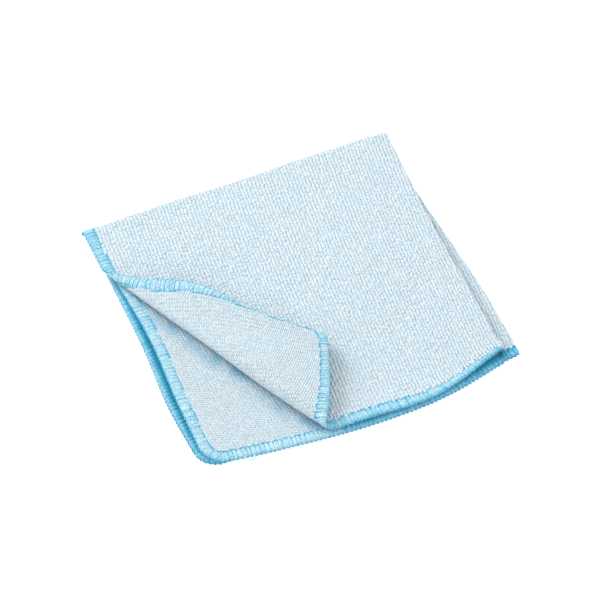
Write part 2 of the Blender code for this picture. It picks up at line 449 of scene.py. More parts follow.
        _, _, radius = heights(v)
        bend = np.pi / 2 * radius
        fold_x = outline(lambda layer: layer.right_fold, v) - self.thickness / 2 - radius
        left_x = outline(lambda layer: layer.left_hem, v)
        flat_x = fold_x - (fold_x - left_x) * (p - bend) / (self.quarter - bend)
        x = np.where(p < bend, fold_x + radius * np.cos(np.clip(p / radius, 0, np.pi / 2)), flat_x)

        upper, lower, _ = heights(np.zeros_like(v))
        turn_radius, turn_height = (upper - lower) / 2, (upper + lower) / 2
        bend = np.pi / 2 * turn_radius
        fold_y = through(self.back_fold, u) * MM - self.thickness / 2 - self.half_stack * self.rise
        front_y = outline(lambda layer: layer.front_hem, u)
        flat_y = fold_y - (fold_y - front_y) * (q - bend) / (self.quarter - bend)
        turn = np.clip(q / turn_radius, 0, np.pi / 2)
        y = np.where(q < bend, fold_y + turn_radius * np.cos(turn), flat_y)
        upper, lower, _ = heights(np.clip(q - bend, 0.0, None) / self.quarter)
        curved_z = turn_height + np.where(is_top, 1, -1) * turn_radius * np.sin(turn)
        z = np.where(q < bend, curved_z, np.where(is_top, upper, lower))
        return np.column_stack((x, y, z))

    def roll_axes(self) -> tuple[float, np.ndarray, np.ndarray]:
        """Find the line where the corner leaves the stack.

        Returns:
            Its length, its direction towards the front, and the unit vector to its right.
        """
        line = np.subtract(self.flap_front, self.flap_back)
        length = float(np.linalg.norm(line))
        along = line / length
        return length, along, np.array((-along[1], along[0]))

    def beyond_roll(self, stacked: np.ndarray) -> tuple[np.ndarray, np.ndarray]:
        """Measure points of the stack from the line where the corner leaves it.

        Args:
            stacked: Points as stack() puts them.

        Returns:
            The place along the roll, from 0 to 1, and the distance beyond it, in metres.
        """
        length, direction, right = self.roll_axes()
        offset = stacked[:, :2] - self.flap_back
        along = np.clip(offset @ direction / length, 0.0, 1.0)
        return along, self.flap_bow * np.sin(np.pi * along) - offset @ right

    def past_roll(self, s: np.ndarray, t: np.ndarray) -> np.ndarray:
        """How far points of the flat cloth lie beyond the line where the corner is turned back."""
        return self.beyond_roll(self.stack(s, t))[1]

    def turn_back(self, points: np.ndarray, s: np.ndarray, t: np.ndarray) -> np.ndarray:
        """Roll the free corner of the top layer up and over, and drag it as it lies.

        Args:
            points: Points of the stack.
            s: Flat coordinate across the right fold, in metres.
            t: Flat coordinate across the back fold, in metres.

        Returns:
            The same points, with those of the free corner moved.
        """
        _, direction, right = self.roll_axes()
        offset = points[:, :2] - self.flap_back
        along, beyond = self.beyond_roll(points)
        radius = through(self.flap_roll, along) * MM
        turn = np.clip(beyond / radius, 0.0, np.pi)
        past = np.clip(beyond - np.pi * radius, 0.0, None)
        across = past - radius * np.sin(turn) + self.flap_bow * np.sin(np.pi * along)
        rise = radius * (1 - np.cos(turn))
        flat = np.asarray(self.flap_back) + np.outer(offset @ direction, direction)
        flat = flat + np.outer(across, right)
        free = ease(0.0, self.drag_reach, beyond - np.pi / 2 * radius)
        for drag in self.drags:
            pull = free * MM * hill(along - drag.along, drag.spread_along,
                                    past - drag.past * MM, drag.spread_past * MM)
            flat = flat + np.outer(pull, (drag.dx, drag.dy))
            rise = rise + pull * drag.dz
        sag = ease(self.droop_starts, self.droop_full, np.abs(t)) * free
        inward = np.clip((self.quarter - np.abs(s)) / self.droop_width, 0.0, 1.0)
        rise = rise - self.droop * sag * (1 - inward) ** 2
        turned = (s >= 0) & (t >= 0) & (beyond > 0)
        moved = points.copy()
        moved[turned, :2] = flat[turned]
        moved[turned, 2] += rise[turned]
        return moved

    def swell(self, points: np.ndarray) -> np.ndarray:
        """Add the soft rises and hollows, which fade towards the flat bottom layer.

        Args:
            points: Points of the folded cloth.

        Returns:
            The same points, raised or lowered.
        """
        lifted = points.copy()
        share = np.clip((points[:, 2] - self.level(Row.BOTTOM)) / (3 * self.rise), 0.0, 1.0)
        for swell in self.swells:
            angle = math.radians(swell.angle)
            dx, dy = points[:, 0] - swell.x * MM, points[:, 1] - swell.y * MM
            along = dx * math.cos(angle) + dy * math.sin(angle)
            across = dy * math.cos(angle) - dx * math.sin(angle)
            shape = hill(along, swell.long * MM, across, swell.wide * MM)
            lifted[:, 2] += swell.rise * MM * share * shape
        return lifted

    def place(self, s: np.ndarray, t: np.ndarray) -> np.ndarray:
        """Carry points of the flat cloth to where the middle of the sheet lies when folded."""
        folded = self.swell(self.turn_back(self.stack(s, t), s, t))
        return folded - np.array((*self.centre, 0.0))

    def carry(self, flat: np.ndarray) -> np.ndarray:
        """Carry points (s, t, h) of the flat cloth to where they lie, and rest them on the floor.

        Args:
            flat: One row for each point, in metres.

        Returns:
            The folded points, none of them under the floor.
        """
        s, t, h = flat.T
        middle = self.place(s, t)
        across = self.place(s + self.probe, t) - self.place(s - self.probe, t)
        down = self.place(s, t + self.probe) - self.place(s, t - self.probe)
        normal = np.cross(across, down)
        normal /= np.maximum(np.linalg.norm(normal, axis=1), TINY)[:, None]
        points = middle + normal * h[:, None]
        film = self.floor_film
        low = points[:, 2] < film
        points[low, 2] = film * np.exp(np.maximum(points[low, 2] / film - 1, -self.film_depth))
        return points


class NodeSketch:
    """Adds nodes to a tree and links them by the names of their sockets."""

    def __init__(self, tree: bpy.types.NodeTree) -> None:
        """Keep the tree that the nodes go to."""
        self.tree = tree

    def add(self, kind: str, inputs: dict[str | int, object] | None = None,
            **settings: object) -> bpy.types.Node:
        """Add a node.

        Args:
            kind: The node's type.
            inputs: What goes to each input, by its name or number: a socket, or a plain value.
            **settings: The node's own properties.

        Returns:
            The new node.
        """
        node = self.tree.nodes.new(kind)
        for name, value in settings.items():
            setattr(node, name, value)
        self.feed(node, inputs or {})
        return node

    def feed(self, node: bpy.types.Node, inputs: dict[str | int, object]) -> None:
        """Link or set a node's inputs.

        Args:
            node: The node.
            inputs: What goes to each input, by its name or number: a socket, or a plain value.
        """
        for key, value in inputs.items():
            socket = self.socket(node.inputs, key)
            if isinstance(value, bpy.types.NodeSocket):
                self.tree.links.new(value, socket)
            else:
                socket.default_value = value

    @staticmethod
    def socket(sockets: bpy.types.bpy_prop_collection, key: str | int) -> bpy.types.NodeSocket:
        """Find a socket by its number, or by its name among those that are in use."""
        if isinstance(key, int):
            return sockets[key]
        return next(one for one in sockets if one.name == key and one.enabled)

    def out(self, kind: str, inputs: dict[str | int, object] | None = None, output: str | int = 0,
            **settings: object) -> bpy.types.NodeSocket:
        """Add a node and return one of its outputs."""
        return self.socket(self.add(kind, inputs, **settings).outputs, output)

    def math(self, operation: str, *values: object) -> bpy.types.NodeSocket:
        """Add a Math node."""
        return self.out("ShaderNodeMath", dict(enumerate(values)), operation=operation)

    def vector(self, *values: object) -> bpy.types.NodeSocket:
        """Make a vector of three values."""
        return self.out("ShaderNodeCombineXYZ", dict(enumerate(values)))

    def vector_math(self, operation: str, *values: object) -> bpy.types.NodeSocket:
        """Add a Vector Math node."""
        return self.out("ShaderNodeVectorMath", dict(enumerate(values)), operation=operation)

    def scaled(self, vector: object, factor: object) -> bpy.types.NodeSocket:
        """Scale a vector or a colour."""
        return self.out("ShaderNodeVectorMath", {0: vector, "Scale": factor}, operation="SCALE")

    def mix(self, factor: object, first: object, second: object) -> bpy.types.NodeSocket:
        """Mix two colours, each a socket or a plain colour."""
        ends = [end if isinstance(end, bpy.types.NodeSocket) else (*end, 1.0)
                for end in (first, second)]
        return self.out("ShaderNodeMix", {0: factor, 6: ends[0], 7: ends[1]}, 2, data_type="RGBA")

    def attribute(self, name: str, output: str = "Fac") -> bpy.types.NodeSocket:
        """Read what a mesh stores on its points."""
        return self.out("ShaderNodeAttribute", output=output, attribute_name=name)

    def random(self, least: object, most: object, seed: object) -> bpy.types.NodeSocket:
        """A random number for each instance."""
        return self.out("FunctionNodeRandomValue", {2: least, 3: most, 8: seed}, 1,
                        data_type="FLOAT")

    def random_vector(self, least: object, most: object, seed: object) -> bpy.types.NodeSocket:
        """A random vector for each instance."""
        return self.out("FunctionNodeRandomValue", {0: least, 1: most, 8: seed}, 0,
                        data_type="FLOAT_VECTOR")

    def grain(self) -> bpy.types.NodeSocket:
        """A round grain of few faces, with a radius of 1."""
        return self.out("GeometryNodeMeshUVSphere", {"Segments": 6, "Rings": 3, "Radius": 1.0})

    def smooth(self, geometry: bpy.types.NodeSocket) -> bpy.types.NodeSocket:
        """Shade a mesh smooth."""
        return self.out("GeometryNodeSetShadeSmooth", {"Geometry": geometry})

    def instances(self, points: bpy.types.NodeSocket, shape: bpy.types.NodeSocket, size: object,
                  turn: bpy.types.NodeSocket) -> bpy.types.NodeSocket:
        """Set a shape on each point, with its size and its turn about the three axes."""
        rotation = self.out("FunctionNodeEulerToRotation", {0: turn})
        return self.out("GeometryNodeInstanceOnPoints", {
            "Points": points, "Instance": shape, "Scale": size, "Rotation": rotation})


class NodeRecipe:
    """A node tree that is built the first time it is asked for, and then kept under its name."""

    NAME = ""

    @classmethod
    def tree(cls) -> bpy.types.NodeTree:
        """Return the tree."""
        return bpy.data.node_groups.get(cls.NAME) or cls.build()

    @classmethod
    def build(cls) -> bpy.types.NodeTree:
        """Build the tree."""
        raise NotImplementedError


def declare(tree: bpy.types.NodeTree, sockets: dict[str, tuple[str, object]], in_out: str) -> None:
    """Give a node group its named sockets.

    Args:
        tree: The node group.
        sockets: The type of each socket and its usual value, by its name.
        in_out: INPUT or OUTPUT.
    """
    for name, (kind, value) in sockets.items():
        socket = tree.interface.new_socket(name=name, in_out=in_out, socket_type=kind)
        if value is not None:
            socket.default_value = value


def new_geometry_tree(name: str, sizes: dict[str, tuple[str, object]]) -> tuple[
        bpy.types.NodeTree, NodeSketch, bpy.types.bpy_prop_collection]:
    """Start a Geometry Nodes tree with its usual sockets and its sizes.

    Args:
        name: The tree's name.
        sizes: The type and usual value of each size, by its name.

    Returns:
        The tree, a sketch for its nodes, and its inputs.
    """
    tree = bpy.data.node_groups.new(name, "GeometryNodeTree")
    declare(tree, {"Geometry": ("NodeSocketGeometry", None), **sizes,
                   "Seed": ("NodeSocketInt", 1), "Finish": ("NodeSocketMaterial", None)}, "INPUT")
    declare(tree, {"Geometry": ("NodeSocketGeometry", None)}, "OUTPUT")
    sketch = NodeSketch(tree)
    return tree, sketch, sketch.add("NodeGroupInput").outputs


def finish_instances(sketch: NodeSketch, instances: bpy.types.NodeSocket, shade: object,
                     finish: bpy.types.NodeSocket) -> None:
    """Keep a shade for each instance, make them real and give them their material.

    Args:
        sketch: Where the nodes go.
        instances: What the tree has made.
        shade: A number for each instance.
        finish: The material.
    """
    named = sketch.out("GeometryNodeStoreNamedAttribute", {
        "Geometry": instances, "Name": "tuft", "Value": shade}, data_type="FLOAT",
        domain="INSTANCE")
    real = sketch.out("GeometryNodeRealizeInstances", {"Geometry": named})
    dressed = sketch.out("GeometryNodeSetMaterial", {"Geometry": real, "Material": finish})
    sketch.add("NodeGroupOutput", {"Geometry": dressed})


def new_object(name: str, data: bpy.types.ID) -> bpy.types.Object:
    """Add an object to the scene.

    Args:
        name: Its name.
        data: Its mesh, lamp or camera.

    Returns:
        The object, at the origin.
    """
    thing = bpy.data.objects.new(name, data)
    bpy.context.scene.collection.objects.link(thing)
    return thing


def grown(name: str, source: bpy.types.Mesh, tree: bpy.types.NodeTree,
          values: dict[str, object]) -> bpy.types.Object:
    """Run a Geometry Nodes tree on a mesh and keep the result as a plain mesh.

    Args:
        name: Name of the piece.
        source: The mesh that the tree starts from.
        tree: The tree.
        values: Its inputs, by their names.

    Returns:
        The piece, with no modifier left on it.
    """
    piece = new_object(name, source)
    modifier = piece.modifiers.new(tree.name, "NODES")
    modifier.node_group = tree
    for item in tree.interface.items_tree:
        if item.item_type == "SOCKET" and item.in_out == "INPUT" and item.name in values:
            modifier[item.identifier] = values[item.name]
    depsgraph = bpy.context.evaluated_depsgraph_get()
    result = bpy.data.meshes.new_from_object(piece.evaluated_get(depsgraph),
                                             preserve_all_data_layers=True, depsgraph=depsgraph)
    piece.modifiers.clear()
    piece.data = result
    result.name = name
    bpy.data.meshes.remove(source)
    return piece


def coordinates(mesh: bpy.types.Mesh) -> np.ndarray:
    """Read a mesh's points.

    Args:
        mesh: The mesh.

    Returns:
        One row of three for each point.
    """
    points = np.empty(len(mesh.vertices) * 3)
    mesh.vertices.foreach_get("co", points)
    return points.reshape(-1, 3)


def write_attribute(mesh: bpy.types.Mesh, name: str, values: np.ndarray) -> None:
    """Store a number or a vector on each point of a mesh.

    Args:
        mesh: The mesh.
        name: The attribute's name.
        values: One number, or one row of three, for each point.
    """
    is_vector = values.ndim == 2
    kind = "FLOAT_VECTOR" if is_vector else "FLOAT"
    attribute = mesh.attributes.get(name) or mesh.attributes.new(name, kind, "POINT")
    attribute.data.foreach_set("vector" if is_vector else "value", values.astype(np.float32).ravel())


def fold_mesh(mesh: bpy.types.Mesh, cloth: FoldedCloth, foot: float, crest: float,
              sewn: bool = False) -> None:
    """Carry a flat mesh into the folded cloth, and keep what the materials read.

    Args:
        mesh: The mesh, in flat coordinates.
        cloth: The folds.
        foot: Height over the middle of the sheet where the painted shade between loops and plies is
            deepest.
        crest: Height where that painted shade has gone and the colour is lightest.
        sewn: Whether it is sewing, which crosses the hem at right angles.
    """
    flat = coordinates(mesh)
    write_attribute(mesh, "flat", flat)
    # 0 low down, 1 at the crest: the finishes paint shade low between loops and plies, and make the
    #                             thread paler at its crests
    write_attribute(mesh, "crest", np.clip((np.abs(flat[:, 2]) - foot) / (crest - foot), 0.0, 1.0))
    # Painted highlight and painted shade of the hem, read by the thread
    write_attribute(mesh, "hem_light", cloth.hem_light(*flat.T))
    # Painted shade by the roll, read by the terry
    write_attribute(mesh, "roll_shade", cloth.roll_shade(*flat.T))
    squared = cloth.square_up(flat) if sewn else flat
    mesh.vertices.foreach_set("co", cloth.carry(squared).ravel())
    mesh.update()


@dataclass(frozen=True)
class FibreGrain:
    """How split fibres vary: noise scales, contrast of the shade, and strength and depth of bump."""

    patch_scale: float
    fibre_scale: float
    contrast: float
    grain: float
    depth: float


class FibreShade(NodeRecipe):
    """The shade and grain of split fibres, which terry and thread share."""

    NAME = "fibre_shade"
    FIBRE_SHARE = 1.2

    @classmethod
    def build(cls) -> bpy.types.NodeTree:
        """Build the group.

        Returns:
            A group that puts out a shade about 1, the two noises behind it and a grained normal.
        """
        tree = bpy.data.node_groups.new(cls.NAME, "ShaderNodeTree")
        declare(tree, {"Vector": ("NodeSocketVector", None),
                       "Patch Scale": ("NodeSocketFloat", 60.0),
                       "Fibre Scale": ("NodeSocketFloat", 4000.0),
                       "Contrast": ("NodeSocketFloat", 0.1),
                       "Grain": ("NodeSocketFloat", 0.3),
                       "Depth": ("NodeSocketFloat", 0.1 * MM)}, "INPUT")
        declare(tree, {"Shade": ("NodeSocketFloat", None), "Patch": ("NodeSocketFloat", None),
                       "Fibre": ("NodeSocketFloat", None), "Normal": ("NodeSocketVector", None)},
                "OUTPUT")
        sketch = NodeSketch(tree)
        given = sketch.add("NodeGroupInput").outputs
        patch = sketch.out("ShaderNodeTexNoise", {"Vector": given["Vector"],
                                                  "Scale": given["Patch Scale"], "Detail": 3.0})
        fibre = sketch.out("ShaderNodeTexNoise", {"Vector": given["Vector"],
                                                  "Scale": given["Fibre Scale"], "Detail": 2.0,
                                                  "Roughness": 0.6})
        fine = sketch.math("MULTIPLY", sketch.math("SUBTRACT", fibre, 0.5), cls.FIBRE_SHARE)
        both = sketch.math("ADD", sketch.math("SUBTRACT", patch, 0.5), fine)
        shade = sketch.math("MULTIPLY_ADD", both, given["Contrast"], 1.0)
        normal = sketch.out("ShaderNodeBump", {"Strength": given["Grain"], "Height": fibre,
                                               "Distance": given["Depth"]}, "Normal")
        sketch.add("NodeGroupOutput", {"Shade": shade, "Patch": patch, "Fibre": fibre,
                                       "Normal": normal})
        return tree

    @classmethod
    def place(cls, sketch: NodeSketch, values: FibreGrain) -> bpy.types.bpy_prop_collection:
        """Place the group in a material with its own values.

        Args:
            sketch: Where the nodes go.
            values: How these fibres vary.

        Returns:
            The group's outputs. The noise runs over the flat cloth, so it follows every fold.
        """
        return sketch.add("ShaderNodeGroup", {
            "Vector": sketch.attribute("flat", "Vector"), "Patch Scale": values.patch_scale,
            "Fibre Scale": values.fibre_scale, "Contrast": values.contrast,
            "Grain": values.grain, "Depth": values.depth}, node_tree=cls.tree()).outputs


def new_material(name: str) -> tuple[bpy.types.Material, NodeSketch, bpy.types.Node]:
    """Start a material.

    Args:
        name: The material's name.

    Returns:
        The material, a sketch for its nodes, and its shader.
    """
    material = bpy.data.materials.new(name)
    material.use_nodes = True
    return material, NodeSketch(material.node_tree), material.node_tree.nodes["Principled BSDF"]


@dataclass(frozen=True)
class FibreFinish:
    """A finish of split fibres: matt, with a grain and a little sheen."""

    name: str
    fibres: FibreGrain
    roughness: float
    specular: float
    sheen: float

    def colour(self, sketch: NodeSketch,
               fibre: bpy.types.bpy_prop_collection) -> bpy.types.NodeSocket:
        """Work out the colour, from what fold_mesh() stores on the mesh and the fibres' shade."""
        raise NotImplementedError

    def material(self) -> bpy.types.Material:
        """Build the material.

        Returns:
            The material.
        """
        material, sketch, shader = new_material(self.name)
        fibre = FibreShade.place(sketch, self.fibres)
        sketch.feed(shader, {
            "Base Color": self.colour(sketch, fibre), "Normal": fibre["Normal"],
            "Roughness": self.roughness, "Specular IOR Level": self.specular,
            "Sheen Weight": self.sheen})
        return material


@dataclass(frozen=True)
class TerryFinish(FibreFinish):
    """Pale blue terry: light crests, with painted shade as a darker, bluer ground between the loops and
    beside and under the roll.
    """

    name: str = "terry"
    fibres: FibreGrain = FibreGrain(110.0, 5200.0, 0.10, 0.35, 0.12 * MM)
    roughness: float = 0.95
    specular: float = 0.2
    sheen: float = 0.10
    # The loops' colour at their crests, varied by cool patches at random, and the darker, bluer ground
    # between them, which is painted shade
    crest: Colour = (0.69, 0.78, 0.828)
    ground: Colour = (0.49, 0.63, 0.715)
    cool: Colour = (0.65, 0.758, 0.818)
    cool_patches: tuple[float, float] = (0.42, 0.62)
    hem: Colour = (0.10, 0.42, 0.62)
    # Painted shade by the roll: a bluer, darker colour laid on in blotches, and its strength
    roll_shade: Colour = (0.28, 0.52, 0.67)
    roll_shade_mix: float = 0.62
    fill: float = 0.32
    tuft_contrast: float = 0.07

    def colour(self, sketch: NodeSketch,
               fibre: bpy.types.bpy_prop_collection) -> bpy.types.NodeSocket:
        """Mix the colour.

        Args:
            sketch: Where the nodes go.
            fibre: The fibres' shade and patches.

        Returns:
            A colour that lightens to the loops' crests from painted shade low between them, and turns
            to blue painted shade beside and under the roll.
        """
        coolness = sketch.out("ShaderNodeMapRange", {
            "Value": fibre["Patch"], "From Min": self.cool_patches[0],
            "From Max": self.cool_patches[1]})
        top = sketch.mix(coolness, self.crest, self.cool)
        # Painted shade between the loops: from the ground up to the crests' colour
        height = sketch.math("POWER", sketch.attribute("crest"), self.fill)
        terry = sketch.mix(height, self.ground, top)
        # Painted shade beside and under the roll, in blotches
        blotch = sketch.math("MULTIPLY_ADD", coolness, self.roll_shade_mix, self.roll_shade_mix / 2)
        roll_shade = sketch.math("MULTIPLY", sketch.attribute("roll_shade"), blotch)
        terry = sketch.mix(roll_shade, terry, self.roll_shade)
        loop_shade = sketch.math("MULTIPLY_ADD", sketch.math("SUBTRACT", sketch.attribute("tuft"), 0.5),
                                 self.tuft_contrast, fibre["Shade"])
        return sketch.mix(sketch.attribute("hem"), sketch.scaled(terry, loop_shade), self.hem)


@dataclass(frozen=True)
class ThreadFinish(FibreFinish):
    """Bulked overlock thread: deep blue as painted shade where a layer covers it, pale as painted
    highlight where it lies open, with fluff.
    """

    name: str = "overlock_thread"
    fibres: FibreGrain = FibreGrain(300.0, 1700.0, 0.15, 0.5, 0.15 * MM)
    roughness: float = 0.8
    specular: float = 0.15
    sheen: float = 0.06
    # deep: painted shade under covering layers; pale: painted highlight, and the fluff's flecks; vivid:
    # between them
    deep: Colour = (0.0, 0.30, 0.49)
    vivid: Colour = (0.15, 0.58, 0.79)
    pale: Colour = (0.74, 0.83, 0.845)
    vivid_at: float = 0.4
    # How far towards pale the thread goes in painted shade, where it lies open to painted highlight,
    # and on its crests, which are partly fluff and partly painted highlight
    shaded_mix: float = 0.04
    lit_mix: float = 0.62
    crest_fluff_highlight_mix: float = 0.16
    strand_contrast: float = 0.8
    fleck_contrast: float = 2.7

    def colour(self, sketch: NodeSketch,
               fibre: bpy.types.bpy_prop_collection) -> bpy.types.NodeSocket:
        """Mix the colour.

        Args:
            sketch: Where the nodes go.
            fibre: The fibres' shade and flecks.

        Returns:
            A colour that goes from deep over vivid to pale blue with the hem's painted highlight and
            shade, its crests' fluff and painted highlight, and fluff flecks.
        """
        # Painted shade where a layer covers the hem, painted highlight where it lies open, and paler
        # crests, partly fluff and partly painted highlight
        face = sketch.math("MULTIPLY_ADD", sketch.attribute("hem_light"),
                           self.lit_mix - self.shaded_mix, self.shaded_mix)
        crest = sketch.math("POWER", sketch.attribute("crest"), 2.0)
        raised = sketch.math("MULTIPLY_ADD", crest, self.crest_fluff_highlight_mix, face)
        strand = sketch.math("MULTIPLY_ADD", sketch.math("SUBTRACT", sketch.attribute("tuft"), 0.5),
                             self.strand_contrast, 1.0)
        fluff = sketch.math("MULTIPLY_ADD", sketch.math("SUBTRACT", fibre["Fibre"], 0.5),
                            self.fleck_contrast, strand)
        factor = sketch.math("MULTIPLY", fluff, raised)
        lit = sketch.out("ShaderNodeMapRange", {"Value": factor, "From Max": self.vivid_at})
        fluff_and_highlight = sketch.out("ShaderNodeMapRange", {"Value": factor, "From Min": self.vivid_at})
        blend = sketch.mix(fluff_and_highlight, sketch.mix(lit, self.deep, self.vivid), self.pale)
        return sketch.scaled(blend, fibre["Shade"])


@dataclass
class GroundSheet:
    """The knitted ground: one thin sheet, which the pile and the sewing stand on."""

    cloth: FoldedCloth
    skin: float = 0.42 * MM
    rim_skin: float = 0.22 * MM
    rim_width: float = 0.3 * MM
    hem_blend: float = 0.4 * MM
    # The sheet lies below crest, so it takes the painted shade colour of the ground between the loops
    crest: float = 0.56 * MM
    # Distances of mesh lines from a fold and from the edge, in mm
    bend_lines: tuple[float, ...] = (0.0, 0.4, 0.8, 1.2, 1.6, 2.0, 2.6, 3.4, 4.4, 5.6, 7.0)
    hem_lines: tuple[float, ...] = (5.2, 4.8, 3.2, 1.6, 0.5, 0.0)
    flat_step: float = 2.6 * MM
    roll_step: float = 0.8 * MM
    roll_lines: int = 15
    sliver: float = 0.25 * MM

    def lines(self) -> list[float]:
        """Space the mesh lines: close together where the sheet bends and at its hem.

        Returns:
            Their distances from a fold line, in metres.
        """
        bend = [line * MM for line in self.bend_lines]
        hem = [self.cloth.quarter - line * MM for line in self.hem_lines]
        count = round((hem[0] - bend[-1]) / self.flat_step)
        return bend + list(np.linspace(bend[-1], hem[0], count + 1)[1:]) + hem[1:]

    def roll_line(self) -> tuple[np.ndarray, np.ndarray]:
        """Find the roll of the turned back corner on the flat cloth.

        Returns:
            A point of the line where it starts, and the unit vector across it to the corner.
        """
        cloth = self.cloth
        bend_end = cloth.back_fold[-1] * MM - cloth.thickness / 2 - cloth.half_stack * cloth.rise
        back = np.pi / 2 * cloth.half_stack * cloth.rise + bend_end - cloth.flap_back[1]
        right_end = cloth.layers[Row.TOP.value].right_fold[-1] * MM - cloth.thickness / 2
        start = np.array((cloth.quarter, back))
        end = np.array((right_end - cloth.flap_front[0], cloth.quarter))
        direction = (end - start) / np.linalg.norm(end - start)
        normal = np.array((-direction[1], direction[0]))
        return start, normal * np.sign(normal @ (np.full(2, cloth.quarter) - start))

    def flat_grid(self) -> bmesh.types.BMesh:
        """Draw the flat sheet, cut finer along the roll of the turned back corner.

        Returns:
            The flat grid, before its corners are rounded.
        """
        half = self.lines()
        lines = [-line for line in reversed(half[1:])] + half
        bm = bmesh.new()
        rows = [[bm.verts.new((s, t, 0.0)) for s in lines] for t in lines]
        for low, high in zip(rows, rows[1:]):
            for i in range(len(lines) - 1):
                bm.faces.new((low[i], low[i + 1], high[i + 1], high[i]))
        start, normal = self.roll_line()
        reach = self.roll_step * self.roll_lines + self.flat_step
        for line in range(self.roll_lines):
            place = start + normal * (line * self.roll_step)
            near = [f for f in bm.faces if min(v.co.x for v in f.verts) > -self.sliver
                    and min(v.co.y for v in f.verts) > -self.sliver
                    and abs((np.array(f.calc_center_median()[:2]) - start) @ normal) < reach]
            geom = near + list({e for f in near for e in f.edges})
            geom += list({v for f in near for v in f.verts})
            bmesh.ops.bisect_plane(bm, geom=geom, dist=self.sliver, plane_co=(*place, 0.0),
                                   plane_no=(*normal, 0.0))
        return bm

    def build(self, finish: TerryFinish) -> bpy.types.Object:
        """Make both faces and the rim between them, and fold them.

        Args:
            finish: What the sheet is dressed in.

        Returns:
            The folded sheet.
        """
        bm = self.flat_grid()
        bm.verts.index_update()
        grid = np.array([vert.co[:2] for vert in bm.verts])
        s, t = self.cloth.round_corners(grid[:, 0], grid[:, 1])
        faces = [[vert.index for vert in face.verts] for face in bm.faces]
        rim = [[loop.vert.index, loop.link_loop_next.vert.index]
               for face in bm.faces for loop in face.loops if loop.edge.is_boundary]
        bm.free()
        count = len(grid)
        edge = self.cloth.to_edge(s, t)
        body = ease(self.cloth.hem_width, self.cloth.hem_width + self.hem_blend, edge)
        skin = np.where(edge < self.rim_width, self.rim_skin, self.skin)
        flat = np.vstack((np.column_stack((s, t, skin)), np.column_stack((s, t, -skin))))
        polygons = list(faces)
        polygons += [[index + count for index in reversed(face)] for face in faces]
        polygons += [[b, a, a + count, b + count] for a, b in rim]
        mesh = bpy.data.meshes.new("cloth_sheet")
        mesh.from_pydata(flat.tolist(), [], polygons)
        mesh.shade_smooth()
        write_attribute(mesh, "hem", 1 - np.tile(body, 2))
        write_attribute(mesh, "tuft", np.full(2 * count, 0.5))
        fold_mesh(mesh, self.cloth, self.skin, self.crest)
        mesh.materials.append(finish.material())
        return new_object("cloth_sheet", mesh)


